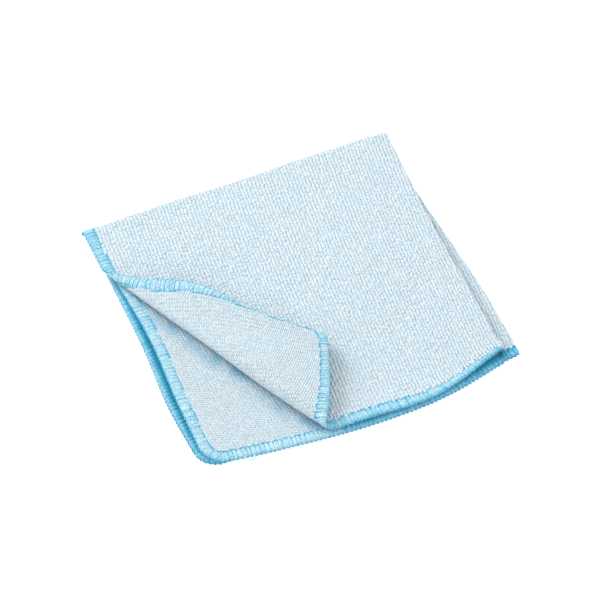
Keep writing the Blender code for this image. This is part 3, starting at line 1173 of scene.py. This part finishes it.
class PileNodes(NodeRecipe):
    """Geometry Nodes that set one loop of pile on each point of the flat cloth."""

    NAME = "pile_loops"
    DRIFT = (2.0, 1.0, 0.0)

    @staticmethod
    def loop(sketch: NodeSketch, given: bpy.types.bpy_prop_collection) -> bpy.types.NodeSocket:
        """Make one loop: a low arched grain of few faces.

        Args:
            sketch: Where the nodes go.
            given: The tree's inputs.

        Returns:
            The loop, about its own seat.
        """
        place = sketch.add("ShaderNodeSeparateXYZ", {0: sketch.out("GeometryNodeInputPosition")})
        drop = sketch.math("MULTIPLY", sketch.math("POWER", place.outputs["Y"], 2.0), given["Arch"])
        arched = sketch.out("GeometryNodeSetPosition", {
            "Geometry": sketch.grain(),
            "Offset": sketch.vector(0.0, 0.0, sketch.math("MULTIPLY", drop, -1.0))})
        size = sketch.vector(sketch.math("MULTIPLY", given["Width"], 0.5),
                             sketch.math("MULTIPLY", given["Length"], 0.5), given["Height"])
        return sketch.smooth(sketch.out("GeometryNodeTransform", {"Geometry": arched, "Scale": size}))

    @classmethod
    def build(cls) -> bpy.types.NodeTree:
        """Build the tree.

        Returns:
            A tree whose loops wander with the knit, and lean and vary at random.
        """
        tree, sketch, given = new_geometry_tree(cls.NAME, {
            "Length": ("NodeSocketFloat", 1.5 * MM), "Width": ("NodeSocketFloat", 1.2 * MM),
            "Height": ("NodeSocketFloat", 0.4 * MM), "Seat": ("NodeSocketFloat", 0.5 * MM),
            "Turn": ("NodeSocketFloat", 0.0), "Lean": ("NodeSocketFloat", 0.2),
            "Scatter": ("NodeSocketVector", (0.1 * MM, 0.2 * MM, 0.05 * MM)),
            "Unevenness": ("NodeSocketFloat", 0.15), "Arch": ("NodeSocketFloat", 0.3),
            "Wander": ("NodeSocketFloat", 0.3 * MM), "Wander Scale": ("NodeSocketFloat", 90.0),
            "Heap": ("NodeSocketFloat", 0.4), "Heap Scale": ("NodeSocketFloat", 220.0)})
        seed = given["Seed"]
        place = sketch.out("GeometryNodeInputPosition")
        drift = sketch.out("ShaderNodeTexNoise", {"Vector": place, "Scale": given["Wander Scale"],
                                                  "Detail": 2.0}, "Color")
        drift = sketch.vector_math("MULTIPLY", sketch.vector_math("SUBTRACT", drift, (0.5,) * 3),
                                   cls.DRIFT)
        scatter = sketch.random_vector((-1.0,) * 3, (1.0,) * 3, sketch.math("ADD", seed, 1))
        scatter = sketch.vector_math("MULTIPLY", scatter, given["Scatter"])
        seat = sketch.vector(0.0, 0.0, given["Seat"])
        offset = sketch.vector_math("ADD", sketch.scaled(drift, given["Wander"]),
                                    sketch.vector_math("ADD", scatter, seat))
        points = sketch.out("GeometryNodeSetPosition", {"Geometry": given["Geometry"],
                                                        "Offset": offset})
        lean = sketch.random_vector((-1.0,) * 3, (1.0,) * 3, sketch.math("ADD", seed, 2))
        turned = sketch.vector_math("ADD", sketch.scaled(lean, given["Lean"]),
                                    sketch.vector(0.0, 0.0, given["Turn"]))
        heap = sketch.out("ShaderNodeTexNoise", {"Vector": place, "Scale": given["Heap Scale"],
                                                 "Detail": 2.0}, "Fac")
        heap = sketch.math("MULTIPLY_ADD", sketch.math("SUBTRACT", heap, 0.5),
                           sketch.math("MULTIPLY", given["Heap"], 2.0), 1.0)
        size = sketch.random_vector((-1.0,) * 3, (1.0,) * 3, sketch.math("ADD", seed, 3))
        size = sketch.vector_math("ADD", sketch.scaled(size, given["Unevenness"]), (1.0,) * 3)
        size = sketch.vector_math("MULTIPLY", size, sketch.vector(1.0, 1.0, heap))
        loops = sketch.instances(points, cls.loop(sketch, given), size, turned)
        shade = sketch.random(0.0, 1.0, sketch.math("ADD", seed, 4))
        finish_instances(sketch, loops, shade, given["Finish"])
        return tree


@dataclass
class Pile:
    """The loops of one stretch of the knit, on the ribbed face, where a test of the place says so."""

    name: str
    cloth: FoldedCloth
    covers: Test
    face: Face = Face.RIBBED
    length: float = 2.40 * MM
    width: float = 1.76 * MM
    height: float = 0.42 * MM
    seat: float = 0.48 * MM
    lean: float = 0.15
    scatter: tuple[float, float, float] = (0.20 * MM, 0.30 * MM, 0.08 * MM)
    unevenness: float = 0.20
    wander: float = 0.45 * MM
    heap: float = 0.22
    wale: float = 1.63 * MM
    course: float = 1.47 * MM
    stagger: float = 0.54 * MM
    slant: float = math.radians(5.0)
    # Heights where the painted shade between the loops is deepest, and where it has gone
    foot: float = 0.42 * MM
    crest: float = 0.56 * MM
    # How far the pile comes over the hem's inner line: all along, and by the right fold's front end
    hem_lap: float = 0.2 * MM
    lap: float = 0.0
    lap_end: float = 60 * MM
    lap_rise: float = 0.4 * MM
    # How far the wales are laid out, since they slant, as a share of the cloth's half side, and how
    # many courses are laid out past it
    slant_room: float = 1.2
    spare_courses: int = 2
    seed: int = 3

    def lapped(self, s: np.ndarray, t: np.ndarray) -> np.ndarray:
        """How far the pile bulges over the front hem's sewing: most by the right fold.

        Args:
            s: Flat coordinate across the right fold, in metres.
            t: Flat coordinate across the back fold, in metres.

        Returns:
            The distance at each place, in metres.
        """
        lap = self.lap * np.clip(1 - np.abs(s) / self.lap_end, 0.0, 1.0)
        return np.where(np.abs(t) > np.abs(s), lap, 0.0)

    def points(self) -> np.ndarray:
        """Lay out one point for each loop: wales across, courses along, each wale shifted.

        Returns:
            Points (s, t, rise) of the flat cloth, where this stretch covers it.
        """
        reach = self.cloth.quarter
        last_wale = round(self.slant_room * reach / self.wale)
        wales = np.arange(-last_wale, last_wale + 1)
        last_course = round(reach / self.course) + self.spare_courses
        courses = np.arange(-last_course, last_course + 1)
        wale, course = (grid.ravel() for grid in np.meshgrid(wales, courses))
        t = course * self.course + (wale * self.stagger) % self.course
        s = wale * self.wale + math.tan(self.slant) * t
        inward = self.cloth.to_edge(s, t) - self.cloth.hem_width + self.hem_lap
        kept = (inward > -self.lapped(s, t)) & self.covers(s, t)
        return np.column_stack((s, t, self.lap_rise * (inward < 0)))[kept]

    def build(self, material: bpy.types.Material) -> bpy.types.Object:
        """Grow the loops on the flat cloth and fold them.

        Args:
            material: What they are dressed in.

        Returns:
            The loops as one piece.
        """
        source = bpy.data.meshes.new(self.name + "_points")
        source.from_pydata(self.points().tolist(), [], [])
        across = self.face is Face.PEBBLED
        piece = grown(self.name, source, PileNodes.tree(), {
            "Length": self.length, "Width": self.width, "Height": self.height,
            "Seat": self.seat, "Turn": math.pi / 2 if across else -self.slant,
            "Lean": self.lean, "Scatter": self.scatter, "Unevenness": self.unevenness,
            "Wander": self.wander, "Heap": self.heap, "Seed": self.seed, "Finish": material})
        mesh = piece.data
        if across:
            flat = coordinates(mesh)
            flat[:, 2] *= self.face.value
            mesh.vertices.foreach_set("co", flat.ravel())
            mesh.flip_normals()
        write_attribute(mesh, "hem", np.zeros(len(mesh.vertices)))
        fold_mesh(mesh, self.cloth, self.foot, self.crest)
        return piece


@dataclass
class PebbledPile(Pile):
    """The finer loops of the other face, which lie across the ribs."""

    face: Face = Face.PEBBLED
    length: float = 2.50 * MM
    width: float = 1.10 * MM
    height: float = 0.25 * MM
    lean: float = 0.10
    scatter: tuple[float, float, float] = (0.25 * MM, 0.06 * MM, 0.04 * MM)
    course: float = 1.10 * MM
    stagger: float = 0.38 * MM
    # Heights where the painted shade between the loops is deepest, and where it has gone
    foot: float = 0.18 * MM
    crest: float = 0.38 * MM


@dataclass
class TerryPile:
    """The stretches of pile that show, each on its own face of the cloth. Sizes are in metres."""

    cloth: FoldedCloth
    right_bend: float = 2.8 * MM
    back_bend: float = 6.2 * MM
    third_strip: float = 9.0 * MM
    front_lap: float = 3.2 * MM
    # Distances beyond the roll's line at which the stretches next to it end or start
    top_ends: float = 0.6 * MM
    turned_starts: float = -1.5 * MM
    second_starts: float = -8.0 * MM
    # The underside is pressed flatter
    under_height: float = 0.30 * MM
    under_lean: float = 0.08

    def top(self, s: np.ndarray, t: np.ndarray) -> np.ndarray:
        """Whether points are on the top layer, up to the roll."""
        return (s >= 0) & (t >= 0) & (self.cloth.past_roll(s, t) < self.top_ends)

    def folds(self, s: np.ndarray, t: np.ndarray) -> np.ndarray:
        """Whether points are on the right folds, the back fold or what shows of the third layer.

        Args:
            s: Flat coordinate across the right fold, in metres.
            t: Flat coordinate across the back fold, in metres.

        Returns:
            True or False for each point.
        """
        right = (s < 0) & (t >= 0) & (s > -self.right_bend)
        back = (s >= -self.right_bend) & (t < 0) & (t > -self.back_bend)
        third = (s < self.right_bend) & (s > -self.third_strip) & (t <= -self.back_bend)
        return right | back | third

    def turned(self, s: np.ndarray, t: np.ndarray) -> np.ndarray:
        """Whether points are on the turned back corner."""
        return (s >= 0) & (t >= 0) & (self.cloth.past_roll(s, t) > self.turned_starts)

    def second(self, s: np.ndarray, t: np.ndarray) -> np.ndarray:
        """Whether points are on what the turned back corner uncovers of the second layer."""
        return (s < 0) & (t >= 0) & (self.cloth.past_roll(s, t) > self.second_starts)

    def under(self, s: np.ndarray, t: np.ndarray) -> np.ndarray:
        """Whether points are on the underside, which lies on the floor."""
        return (s >= self.right_bend) & (t <= -self.back_bend)

    def build(self, material: bpy.types.Material) -> list[bpy.types.Object]:
        """Grow each stretch.

        Args:
            material: What they are dressed in.

        Returns:
            One piece for each stretch.
        """
        stretches = [Pile("pile_top", self.cloth, self.top, lap=self.front_lap, seed=3),
                     Pile("pile_folds", self.cloth, self.folds, seed=4),
                     PebbledPile("pile_turned_corner", self.cloth, self.turned, seed=5),
                     PebbledPile("pile_second_layer", self.cloth, self.second, seed=6),
                     Pile("pile_underside", self.cloth, self.under, height=self.under_height,
                          lean=self.under_lean, seed=7)]
        return [stretch.build(material) for stretch in stretches]


class EdgeSewing(NodeRecipe):
    """What the trees that sew along the edge share."""

    @staticmethod
    def stations(sketch: NodeSketch, line: bpy.types.NodeSocket,
                 count: object) -> tuple[bpy.types.NodeSocket, bpy.types.NodeSocket]:
        """Even points along the edge, and the heading of the edge there.

        Args:
            sketch: Where the nodes go.
            line: The edge, as a closed string of mesh edges.
            count: How many points.

        Returns:
            The points, and the angle of the edge at each.
        """
        curve = sketch.out("GeometryNodeMeshToCurve", {0: line})
        along = sketch.add("GeometryNodeCurveToPoints", {"Curve": curve, "Count": count})
        tangent = sketch.add("ShaderNodeSeparateXYZ", {0: along.outputs["Tangent"]})
        heading = sketch.math("ARCTAN2", tangent.outputs["Y"], tangent.outputs["X"])
        return along.outputs["Points"], heading


class WrapNodes(EdgeSewing):
    """Geometry Nodes for the plies that wrap the edge, drawn together at each needle stitch."""

    NAME = "overlock_wraps"
    PLY_POINTS = 8
    PLY_SIDES = 5
    # How the ply's points crowd to the edge, how square it turns there, and how late it dives
    CROWDING = 1.5
    SQUARENESS = 3.0
    LATENESS = 10.0
    # How plies vary: thickness and shade from least to most, turn and height as shares of Unevenness
    THICKNESS = (0.9, 1.3)
    TURN_SHARE = 0.6
    HEIGHT_SHARE = 1.5
    SHADES = (0.15, 0.85)

    @classmethod
    def ply(cls, sketch: NodeSketch, given: bpy.types.bpy_prop_collection) -> bpy.types.NodeSocket:
        """Make one ply, from the needle line on one face round the edge to that on the other.

        Args:
            sketch: Where the nodes go.
            given: The tree's inputs.

        Returns:
            The ply, with the edge at its origin and the cloth towards its +Y.
        """
        line = sketch.out("GeometryNodeCurvePrimitiveLine", {"End": (1.0, 0.0, 0.0)})
        line = sketch.out("GeometryNodeResampleCurve", {"Curve": line, "Count": cls.PLY_POINTS})
        factor = sketch.out("GeometryNodeSplineParameter", output="Factor")
        k = sketch.math("MULTIPLY_ADD", factor, -2.0, 1.0)
        away = sketch.math("ABSOLUTE", k)
        y = sketch.math("SUBTRACT", sketch.math("MULTIPLY", sketch.math("POWER", away, cls.CROWDING),
                                                given["Band Width"]), given["Overhang"])
        bulge = sketch.math("SQRT", sketch.math("SUBTRACT", 1.0, sketch.math(
            "POWER", sketch.math("SUBTRACT", 1.0, away), cls.SQUARENESS)))
        dive = sketch.math("POWER", away, cls.LATENESS)
        height = sketch.math("SUBTRACT", sketch.math("MULTIPLY", bulge, given["Half Height"]),
                             sketch.math("MULTIPLY", dive, given["Dive"]))
        z = sketch.math("MULTIPLY", height, sketch.math("SIGN", k))
        path = sketch.out("GeometryNodeSetPosition", {"Geometry": line,
                                                      "Position": sketch.vector(0.0, y, z)})
        ring = sketch.out("GeometryNodeCurvePrimitiveCircle", {
            "Resolution": cls.PLY_SIDES, "Radius": given["Thread Radius"]})
        return sketch.smooth(sketch.out("GeometryNodeCurveToMesh", {
            "Curve": path, "Profile Curve": ring, "Fill Caps": True}))

    @classmethod
    def build(cls) -> bpy.types.NodeTree:
        """Build the tree.

        Returns:
            A tree that makes several plies to a stitch, each a little different.
        """
        tree, sketch, given = new_geometry_tree(cls.NAME, {
            "Stitches": ("NodeSocketInt", 560), "Plies": ("NodeSocketInt", 4),
            "Pitch": ("NodeSocketFloat", 2.1 * MM), "Band Width": ("NodeSocketFloat", 4.6 * MM),
            "Half Height": ("NodeSocketFloat", 0.5 * MM),
            "Thread Radius": ("NodeSocketFloat", 0.3 * MM),
            "Overhang": ("NodeSocketFloat", 0.1 * MM), "Dive": ("NodeSocketFloat", 0.25 * MM),
            "Bunch": ("NodeSocketFloat", 0.93), "Gather": ("NodeSocketFloat", 0.2),
            "Unevenness": ("NodeSocketFloat", 0.06)})
        seed, spread, plies = given["Seed"], given["Unevenness"], given["Plies"]
        count = sketch.math("MULTIPLY", given["Stitches"], plies)
        points, heading = cls.stations(sketch, given["Geometry"], count)
        index = sketch.out("GeometryNodeInputIndex")
        middle = sketch.math("MULTIPLY", sketch.math("SUBTRACT", plies, 1.0), 0.5)
        turn = sketch.math("SUBTRACT", sketch.math("MODULO", index, plies), middle)
        apart = sketch.math("MULTIPLY", turn, sketch.math("DIVIDE", given["Pitch"], plies))
        slip = sketch.math("MULTIPLY", apart, sketch.math("SUBTRACT", given["Bunch"], 1.0))
        way = sketch.vector(sketch.math("COSINE", heading), sketch.math("SINE", heading), 0.0)
        points = sketch.out("GeometryNodeSetPosition", {
            "Geometry": points, "Offset": sketch.scaled(way, slip)})
        gather = sketch.math("ARCTANGENT", sketch.math("DIVIDE", sketch.math(
            "MULTIPLY", apart, given["Gather"]), given["Band Width"]))
        jitter = sketch.random(sketch.math("MULTIPLY", spread, -cls.TURN_SHARE),
                               sketch.math("MULTIPLY", spread, cls.TURN_SHARE),
                               sketch.math("ADD", seed, 1))
        angle = sketch.math("ADD", heading, sketch.math("ADD", gather, jitter))
        least = sketch.vector(cls.THICKNESS[0], sketch.math("SUBTRACT", 1.0, spread),
                              sketch.math("SUBTRACT", 1.0, spread))
        most = sketch.vector(cls.THICKNESS[1], 1.0,
                             sketch.math("MULTIPLY_ADD", spread, cls.HEIGHT_SHARE, 1.0))
        size = sketch.random_vector(least, most, sketch.math("ADD", seed, 2))
        wraps = sketch.instances(points, cls.ply(sketch, given), size,
                                 sketch.vector(0.0, 0.0, angle))
        shade = sketch.random(*cls.SHADES, sketch.math("ADD", seed, 3))
        finish_instances(sketch, wraps, shade, given["Finish"])
        return tree


class ChainNodes(EdgeSewing):
    """Geometry Nodes for the chain along the edge and the needle thread at the inner line."""

    NAME = "overlock_chain"
    # A needle stitch's length and height as shares of a link's, and how the two are turned
    NEEDLE_SHARE = 0.8
    LINK_TURN = 0.3
    NEEDLE_TURN = 0.15
    MOST_SIZE = (1.0, 1.0, 1.1)
    SHADES = (-0.2, 0.1)

    @staticmethod
    def bead(sketch: NodeSketch, place: tuple[object, object, object],
             size: tuple[object, object, object], turn: float) -> bpy.types.NodeSocket:
        """Make a small grain of thread.

        Args:
            sketch: Where the nodes go.
            place: Its middle.
            size: Its half sizes.
            turn: Its turn about the face's normal.

        Returns:
            The grain.
        """
        return sketch.smooth(sketch.out("GeometryNodeTransform", {
            "Geometry": sketch.grain(), "Translation": sketch.vector(*place),
            "Rotation": (0.0, 0.0, turn), "Scale": sketch.vector(*size)}))

    @classmethod
    def build(cls) -> bpy.types.NodeTree:
        """Build the tree.

        Returns:
            A tree that makes two links of the chain and two needle stitches at each stitch.
        """
        tree, sketch, given = new_geometry_tree(cls.NAME, {
            "Stitches": ("NodeSocketInt", 560), "Band Width": ("NodeSocketFloat", 4.6 * MM),
            "Half Height": ("NodeSocketFloat", 0.6 * MM),
            "Link Height": ("NodeSocketFloat", 0.35 * MM),
            "Thread Radius": ("NodeSocketFloat", 0.25 * MM),
            "Overhang": ("NodeSocketFloat", 0.3 * MM), "Link": ("NodeSocketFloat", 0.8 * MM),
            "Unevenness": ("NodeSocketFloat", 0.12)})
        seed, spread = given["Seed"], given["Unevenness"]
        radius, over, link = given["Thread Radius"], given["Half Height"], given["Link"]
        edge = sketch.math("MULTIPLY", given["Overhang"], -1.0)
        chain = (link, radius, radius)
        needle = (sketch.math("MULTIPLY", link, cls.NEEDLE_SHARE), radius,
                  sketch.math("MULTIPLY", radius, cls.NEEDLE_SHARE))

        def lower(value: bpy.types.NodeSocket) -> bpy.types.NodeSocket:
            """The same height on the other face."""
            return sketch.math("MULTIPLY", value, -1.0)

        rise, inner = given["Link Height"], given["Band Width"]
        parts = [cls.bead(sketch, (0.0, edge, rise), chain, cls.LINK_TURN),
                 cls.bead(sketch, (0.0, edge, lower(rise)), chain, -cls.LINK_TURN),
                 cls.bead(sketch, (0.0, inner, over), needle, cls.NEEDLE_TURN),
                 cls.bead(sketch, (0.0, inner, lower(over)), needle, -cls.NEEDLE_TURN)]
        join = sketch.add("GeometryNodeJoinGeometry")
        for part in reversed(parts):
            tree.links.new(part, join.inputs[0])
        points, heading = cls.stations(sketch, given["Geometry"], given["Stitches"])
        jitter = sketch.random(sketch.math("MULTIPLY", spread, -1.0), spread,
                               sketch.math("ADD", seed, 1))
        least = sketch.scaled((1.0, 1.0, 1.0), sketch.math("SUBTRACT", 1.0, spread))
        size = sketch.random_vector(least, cls.MOST_SIZE, sketch.math("ADD", seed, 2))
        links = sketch.instances(points, join.outputs[0], size,
                                 sketch.vector(0.0, 0.0, sketch.math("ADD", heading, jitter)))
        shade = sketch.random(*cls.SHADES, sketch.math("ADD", seed, 3))
        finish_instances(sketch, links, shade, given["Finish"])
        return tree


@dataclass
class OverlockedEdge:
    """The sewing that holds the cut edge of the cloth, all the way round it."""

    cloth: FoldedCloth
    stitch: float = 2.1 * MM
    plies: int = 4
    ply_radius: float = 0.33 * MM
    half_height: float = 0.48 * MM
    needle_height: float = 0.62 * MM
    chain_radius: float = 0.26 * MM
    overhang: float = 0.30 * MM
    # The band's inner line, from the hem's own, and a link's height and length as shares of
    # half_height and of a stitch
    band_inset: float = 0.2 * MM
    link_rise: float = 0.55
    link_length: float = 0.40
    corner_steps: int = 12
    side_steps: int = 40
    seed: int = 11

    def path(self) -> np.ndarray:
        """Draw the cloth's rounded edge, with the cloth on its left.

        Returns:
            Points (s, t) of the closed edge.
        """
        straight = self.cloth.quarter - self.cloth.corner_radius
        arcs = []
        for corner in range(4):
            start = math.pi / 2 * (corner - 1)
            middle = straight * np.sqrt(2) * np.array((math.cos(start + math.pi / 4),
                                                       math.sin(start + math.pi / 4)))
            angles = start + np.linspace(0.0, math.pi / 2, self.corner_steps + 1)
            round_it = np.column_stack((np.cos(angles), np.sin(angles)))
            arcs.append(middle + self.cloth.corner_radius * round_it)
        ring = []
        for arc, after in zip(arcs, arcs[1:] + arcs[:1]):
            ring.append(arc)
            ring.append(np.linspace(arc[-1], after[0], self.side_steps + 1)[1:-1])
        return np.vstack(ring)

    def source(self, name: str) -> bpy.types.Mesh:
        """Make the path a closed string of mesh edges.

        Args:
            name: The mesh's name.

        Returns:
            The mesh.
        """
        ring = self.path()
        count = len(ring)
        mesh = bpy.data.meshes.new(name)
        mesh.from_pydata(np.column_stack((ring, np.zeros(count))).tolist(),
                         [(i, (i + 1) % count) for i in range(count)], [])
        return mesh

    def build(self, material: bpy.types.Material) -> list[bpy.types.Object]:
        """Sew the flat cloth's edge and fold it.

        Args:
            material: What the thread is dressed in.

        Returns:
            The plies and the chain.
        """
        ring = self.path()
        around = float(np.linalg.norm(ring - np.roll(ring, -1, axis=0), axis=1).sum())
        stitches, band = round(around / self.stitch), self.cloth.hem_width - self.band_inset
        wraps = grown("overlock_wraps", self.source("wrap_path"), WrapNodes.tree(), {
            "Stitches": stitches, "Plies": self.plies, "Pitch": self.stitch, "Band Width": band,
            "Half Height": self.half_height, "Thread Radius": self.ply_radius,
            "Seed": self.seed, "Finish": material})
        chain = grown("overlock_chain", self.source("chain_path"), ChainNodes.tree(), {
            "Stitches": stitches, "Band Width": band, "Half Height": self.needle_height,
            "Link Height": self.link_rise * self.half_height, "Thread Radius": self.chain_radius,
            "Overhang": self.overhang, "Link": self.link_length * self.stitch,
            "Seed": self.seed, "Finish": material})
        # The plies' tops get the paler crests, partly fluff and partly painted highlight; the chain,
        # measured from above them, gets almost none
        top = self.half_height + self.ply_radius
        fold_mesh(wraps.data, self.cloth, 0.5 * top, top, sewn=True)
        fold_mesh(chain.data, self.cloth, top, 2 * top, sewn=True)
        return [wraps, chain]


@dataclass
class LooseLoop:
    """A small loop of thread that has worked loose from the second layer's front hem."""

    cloth: FoldedCloth
    place: tuple[float, float, float] = (-131.2 * MM, 150.9 * MM, -0.3 * MM)
    half_long: float = 2.5 * MM
    half_wide: float = 1.5 * MM
    thread_radius: float = 0.2 * MM
    steps: int = 28
    sides: int = 6

    def build(self, material: bpy.types.Material) -> bpy.types.Object:
        """Bend a thread into the loop, next to the edge, and fold it.

        Args:
            material: What the thread is dressed in.

        Returns:
            The loop.
        """
        turn, side = np.meshgrid(np.arange(self.steps) * 2 * np.pi / self.steps,
                                 np.arange(self.sides) * 2 * np.pi / self.sides, indexing="ij")
        out = 1 + self.thread_radius * np.cos(side) / self.half_wide
        flat = np.column_stack(((self.half_long * out * np.cos(turn)).ravel(),
                                (self.half_wide * out * np.sin(turn)).ravel(),
                                (self.thread_radius * np.sin(side)).ravel())) + self.place
        count = self.steps * self.sides
        ring = [(i * self.sides + j, i * self.sides + (j + 1) % self.sides)
                for i in range(self.steps) for j in range(self.sides)]
        faces = [(a, (a + self.sides) % count, (b + self.sides) % count, b) for a, b in ring]
        mesh = bpy.data.meshes.new("loose_loop")
        mesh.from_pydata(flat.tolist(), [], faces)
        mesh.shade_smooth()
        mesh.materials.append(material)
        write_attribute(mesh, "tuft", np.full(count, 0.5))
        fold_mesh(mesh, self.cloth, 0.0, self.thread_radius)
        return new_object("loose_loop", mesh)


@dataclass(frozen=True)
class SoftBox:
    """A square area light: its direction from the cloth, its distance, side and power."""

    name: str
    azimuth: float
    elevation: float
    distance: float
    side: float
    power: float


@dataclass(frozen=True)
class Studio:
    """A white sweep, soft light and the camera."""

    azimuth: float = -23.87
    elevation: float = 47.5
    distance: float = 894.1 * MM
    lens: float = 120.0
    sensor: float = 36.0
    aim_right: float = -0.135 * MM
    aim_up: float = -1.742 * MM
    aim: tuple[float, float] = (0.49 * MM, 2.54 * MM)
    floor_side: float = 6.0
    floor_seen: Colour = (0.97, 0.97, 0.97)
    floor_glow: float = 0.7
    floor_bounce: Colour = (0.82, 0.83, 0.84)
    sky: Colour = (1.0, 1.0, 1.0)
    sky_low: float = 0.87
    sky_high: float = 0.88
    soft_boxes: tuple[SoftBox, ...] = (
        SoftBox("key_light", -152.0, 34.0, 1.6, 0.7, 15.0),
        SoftBox("fill_light", 8.0, 24.0, 1.6, 0.8, 4.0),
    )

    @staticmethod
    def direction(azimuth: float, elevation: float) -> Vector:
        """Find the way from the cloth to a place round it.

        Args:
            azimuth: Degrees round the cloth from its front, towards its right.
            elevation: Degrees above the floor.

        Returns:
            A unit vector.
        """
        a, e = math.radians(azimuth), math.radians(elevation)
        return Vector((math.sin(a) * math.cos(e), -math.cos(a) * math.cos(e), math.sin(e)))

    @staticmethod
    def sideways(back: Vector) -> tuple[Vector, Vector]:
        """The right side and the top side of a lamp or camera, by the way that its back faces."""
        right = (-back).cross(Vector((0.0, 0.0, 1.0))).normalized()
        return right, right.cross(-back)

    @classmethod
    def aimed(cls, place: Vector, back: Vector) -> Matrix:
        """A lamp's or camera's place, with its back along a direction and its top side up."""
        right, up = cls.sideways(back)
        return Matrix.Translation(place) @ Matrix((right, up, back)).transposed().to_4x4()

    def add_camera(self) -> None:
        """Set the camera where the photograph was taken from."""
        data = bpy.data.cameras.new("camera")
        data.lens, data.sensor_width = self.lens, self.sensor
        camera = new_object("camera", data)
        back = self.direction(self.azimuth, self.elevation)
        right, up = self.sideways(back)
        target = Vector((*self.aim, 0.0)) + right * self.aim_right + up * self.aim_up
        camera.matrix_world = self.aimed(target + back * self.distance, back)
        bpy.context.scene.camera = camera

    def add_light(self) -> None:
        """Add the soft boxes and an even white sky."""
        for box in self.soft_boxes:
            data = bpy.data.lights.new(box.name, "AREA")
            data.shape, data.size, data.energy = "SQUARE", box.side, box.power
            back = self.direction(box.azimuth, box.elevation)
            new_object(box.name, data).matrix_world = self.aimed(back * box.distance, back)
        world = bpy.data.worlds.new("sky")
        bpy.context.scene.world = world
        world.use_nodes = True
        sketch = NodeSketch(world.node_tree)
        up = sketch.out("ShaderNodeSeparateXYZ", {
            0: sketch.out("ShaderNodeTexCoord", output="Generated")}, "Z")
        strength = sketch.out("ShaderNodeMapRange", {"Value": up, "To Min": self.sky_low,
                                                     "To Max": self.sky_high})
        sketch.feed(world.node_tree.nodes["Background"], {"Color": (*self.sky, 1.0),
                                                          "Strength": strength})
        bpy.context.scene.view_settings.view_transform = "Standard"

    def floor_material(self) -> bpy.types.Material:
        """Make the floor matt white, and greyer to the light that bounces up from it.

        Returns:
            The floor's material.
        """
        material, sketch, shader = new_material("floor")
        seen = sketch.out("ShaderNodeLightPath", output="Is Camera Ray")
        sketch.feed(shader, {
            "Base Color": sketch.mix(seen, self.floor_bounce, self.floor_seen),
            "Emission Color": sketch.mix(seen, (0.0, 0.0, 0.0), self.floor_seen),
            "Emission Strength": self.floor_glow, "Roughness": 1.0, "Specular IOR Level": 0.0})
        return material

    def add_floor(self) -> bpy.types.Object:
        """Lay the pale floor.

        Returns:
            The floor.
        """
        half = self.floor_side / 2
        mesh = bpy.data.meshes.new("floor")
        mesh.from_pydata([(-half, -half, 0.0), (half, -half, 0.0), (half, half, 0.0),
                          (-half, half, 0.0)], [], [(0, 1, 2, 3)])
        mesh.materials.append(self.floor_material())
        floor = new_object("floor", mesh)
        return floor


def main() -> None:
    """Build the cloth and the studio, and attach each piece to the root body."""
    logging.basicConfig(level=logging.INFO, format="%(message)s")
    studio = Studio()
    studio.add_camera()
    studio.add_light()
    floor = studio.add_floor()

    cloth = FoldedCloth()
    sheet = GroundSheet(cloth).build(TerryFinish())
    terry = sheet.data.materials[0]
    pieces = TerryPile(cloth).build(terry)
    thread = ThreadFinish().material()
    pieces += [*OverlockedEdge(cloth).build(thread), LooseLoop(cloth).build(thread)]
    for piece in [sheet, *pieces]:
        piece.data.calc_loop_triangles()
        LOG.info("%s: %d triangles", piece.name, len(piece.data.loop_triangles))
        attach(piece, "root")
    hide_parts("cloth")


if __name__ == "__main__":
    main()
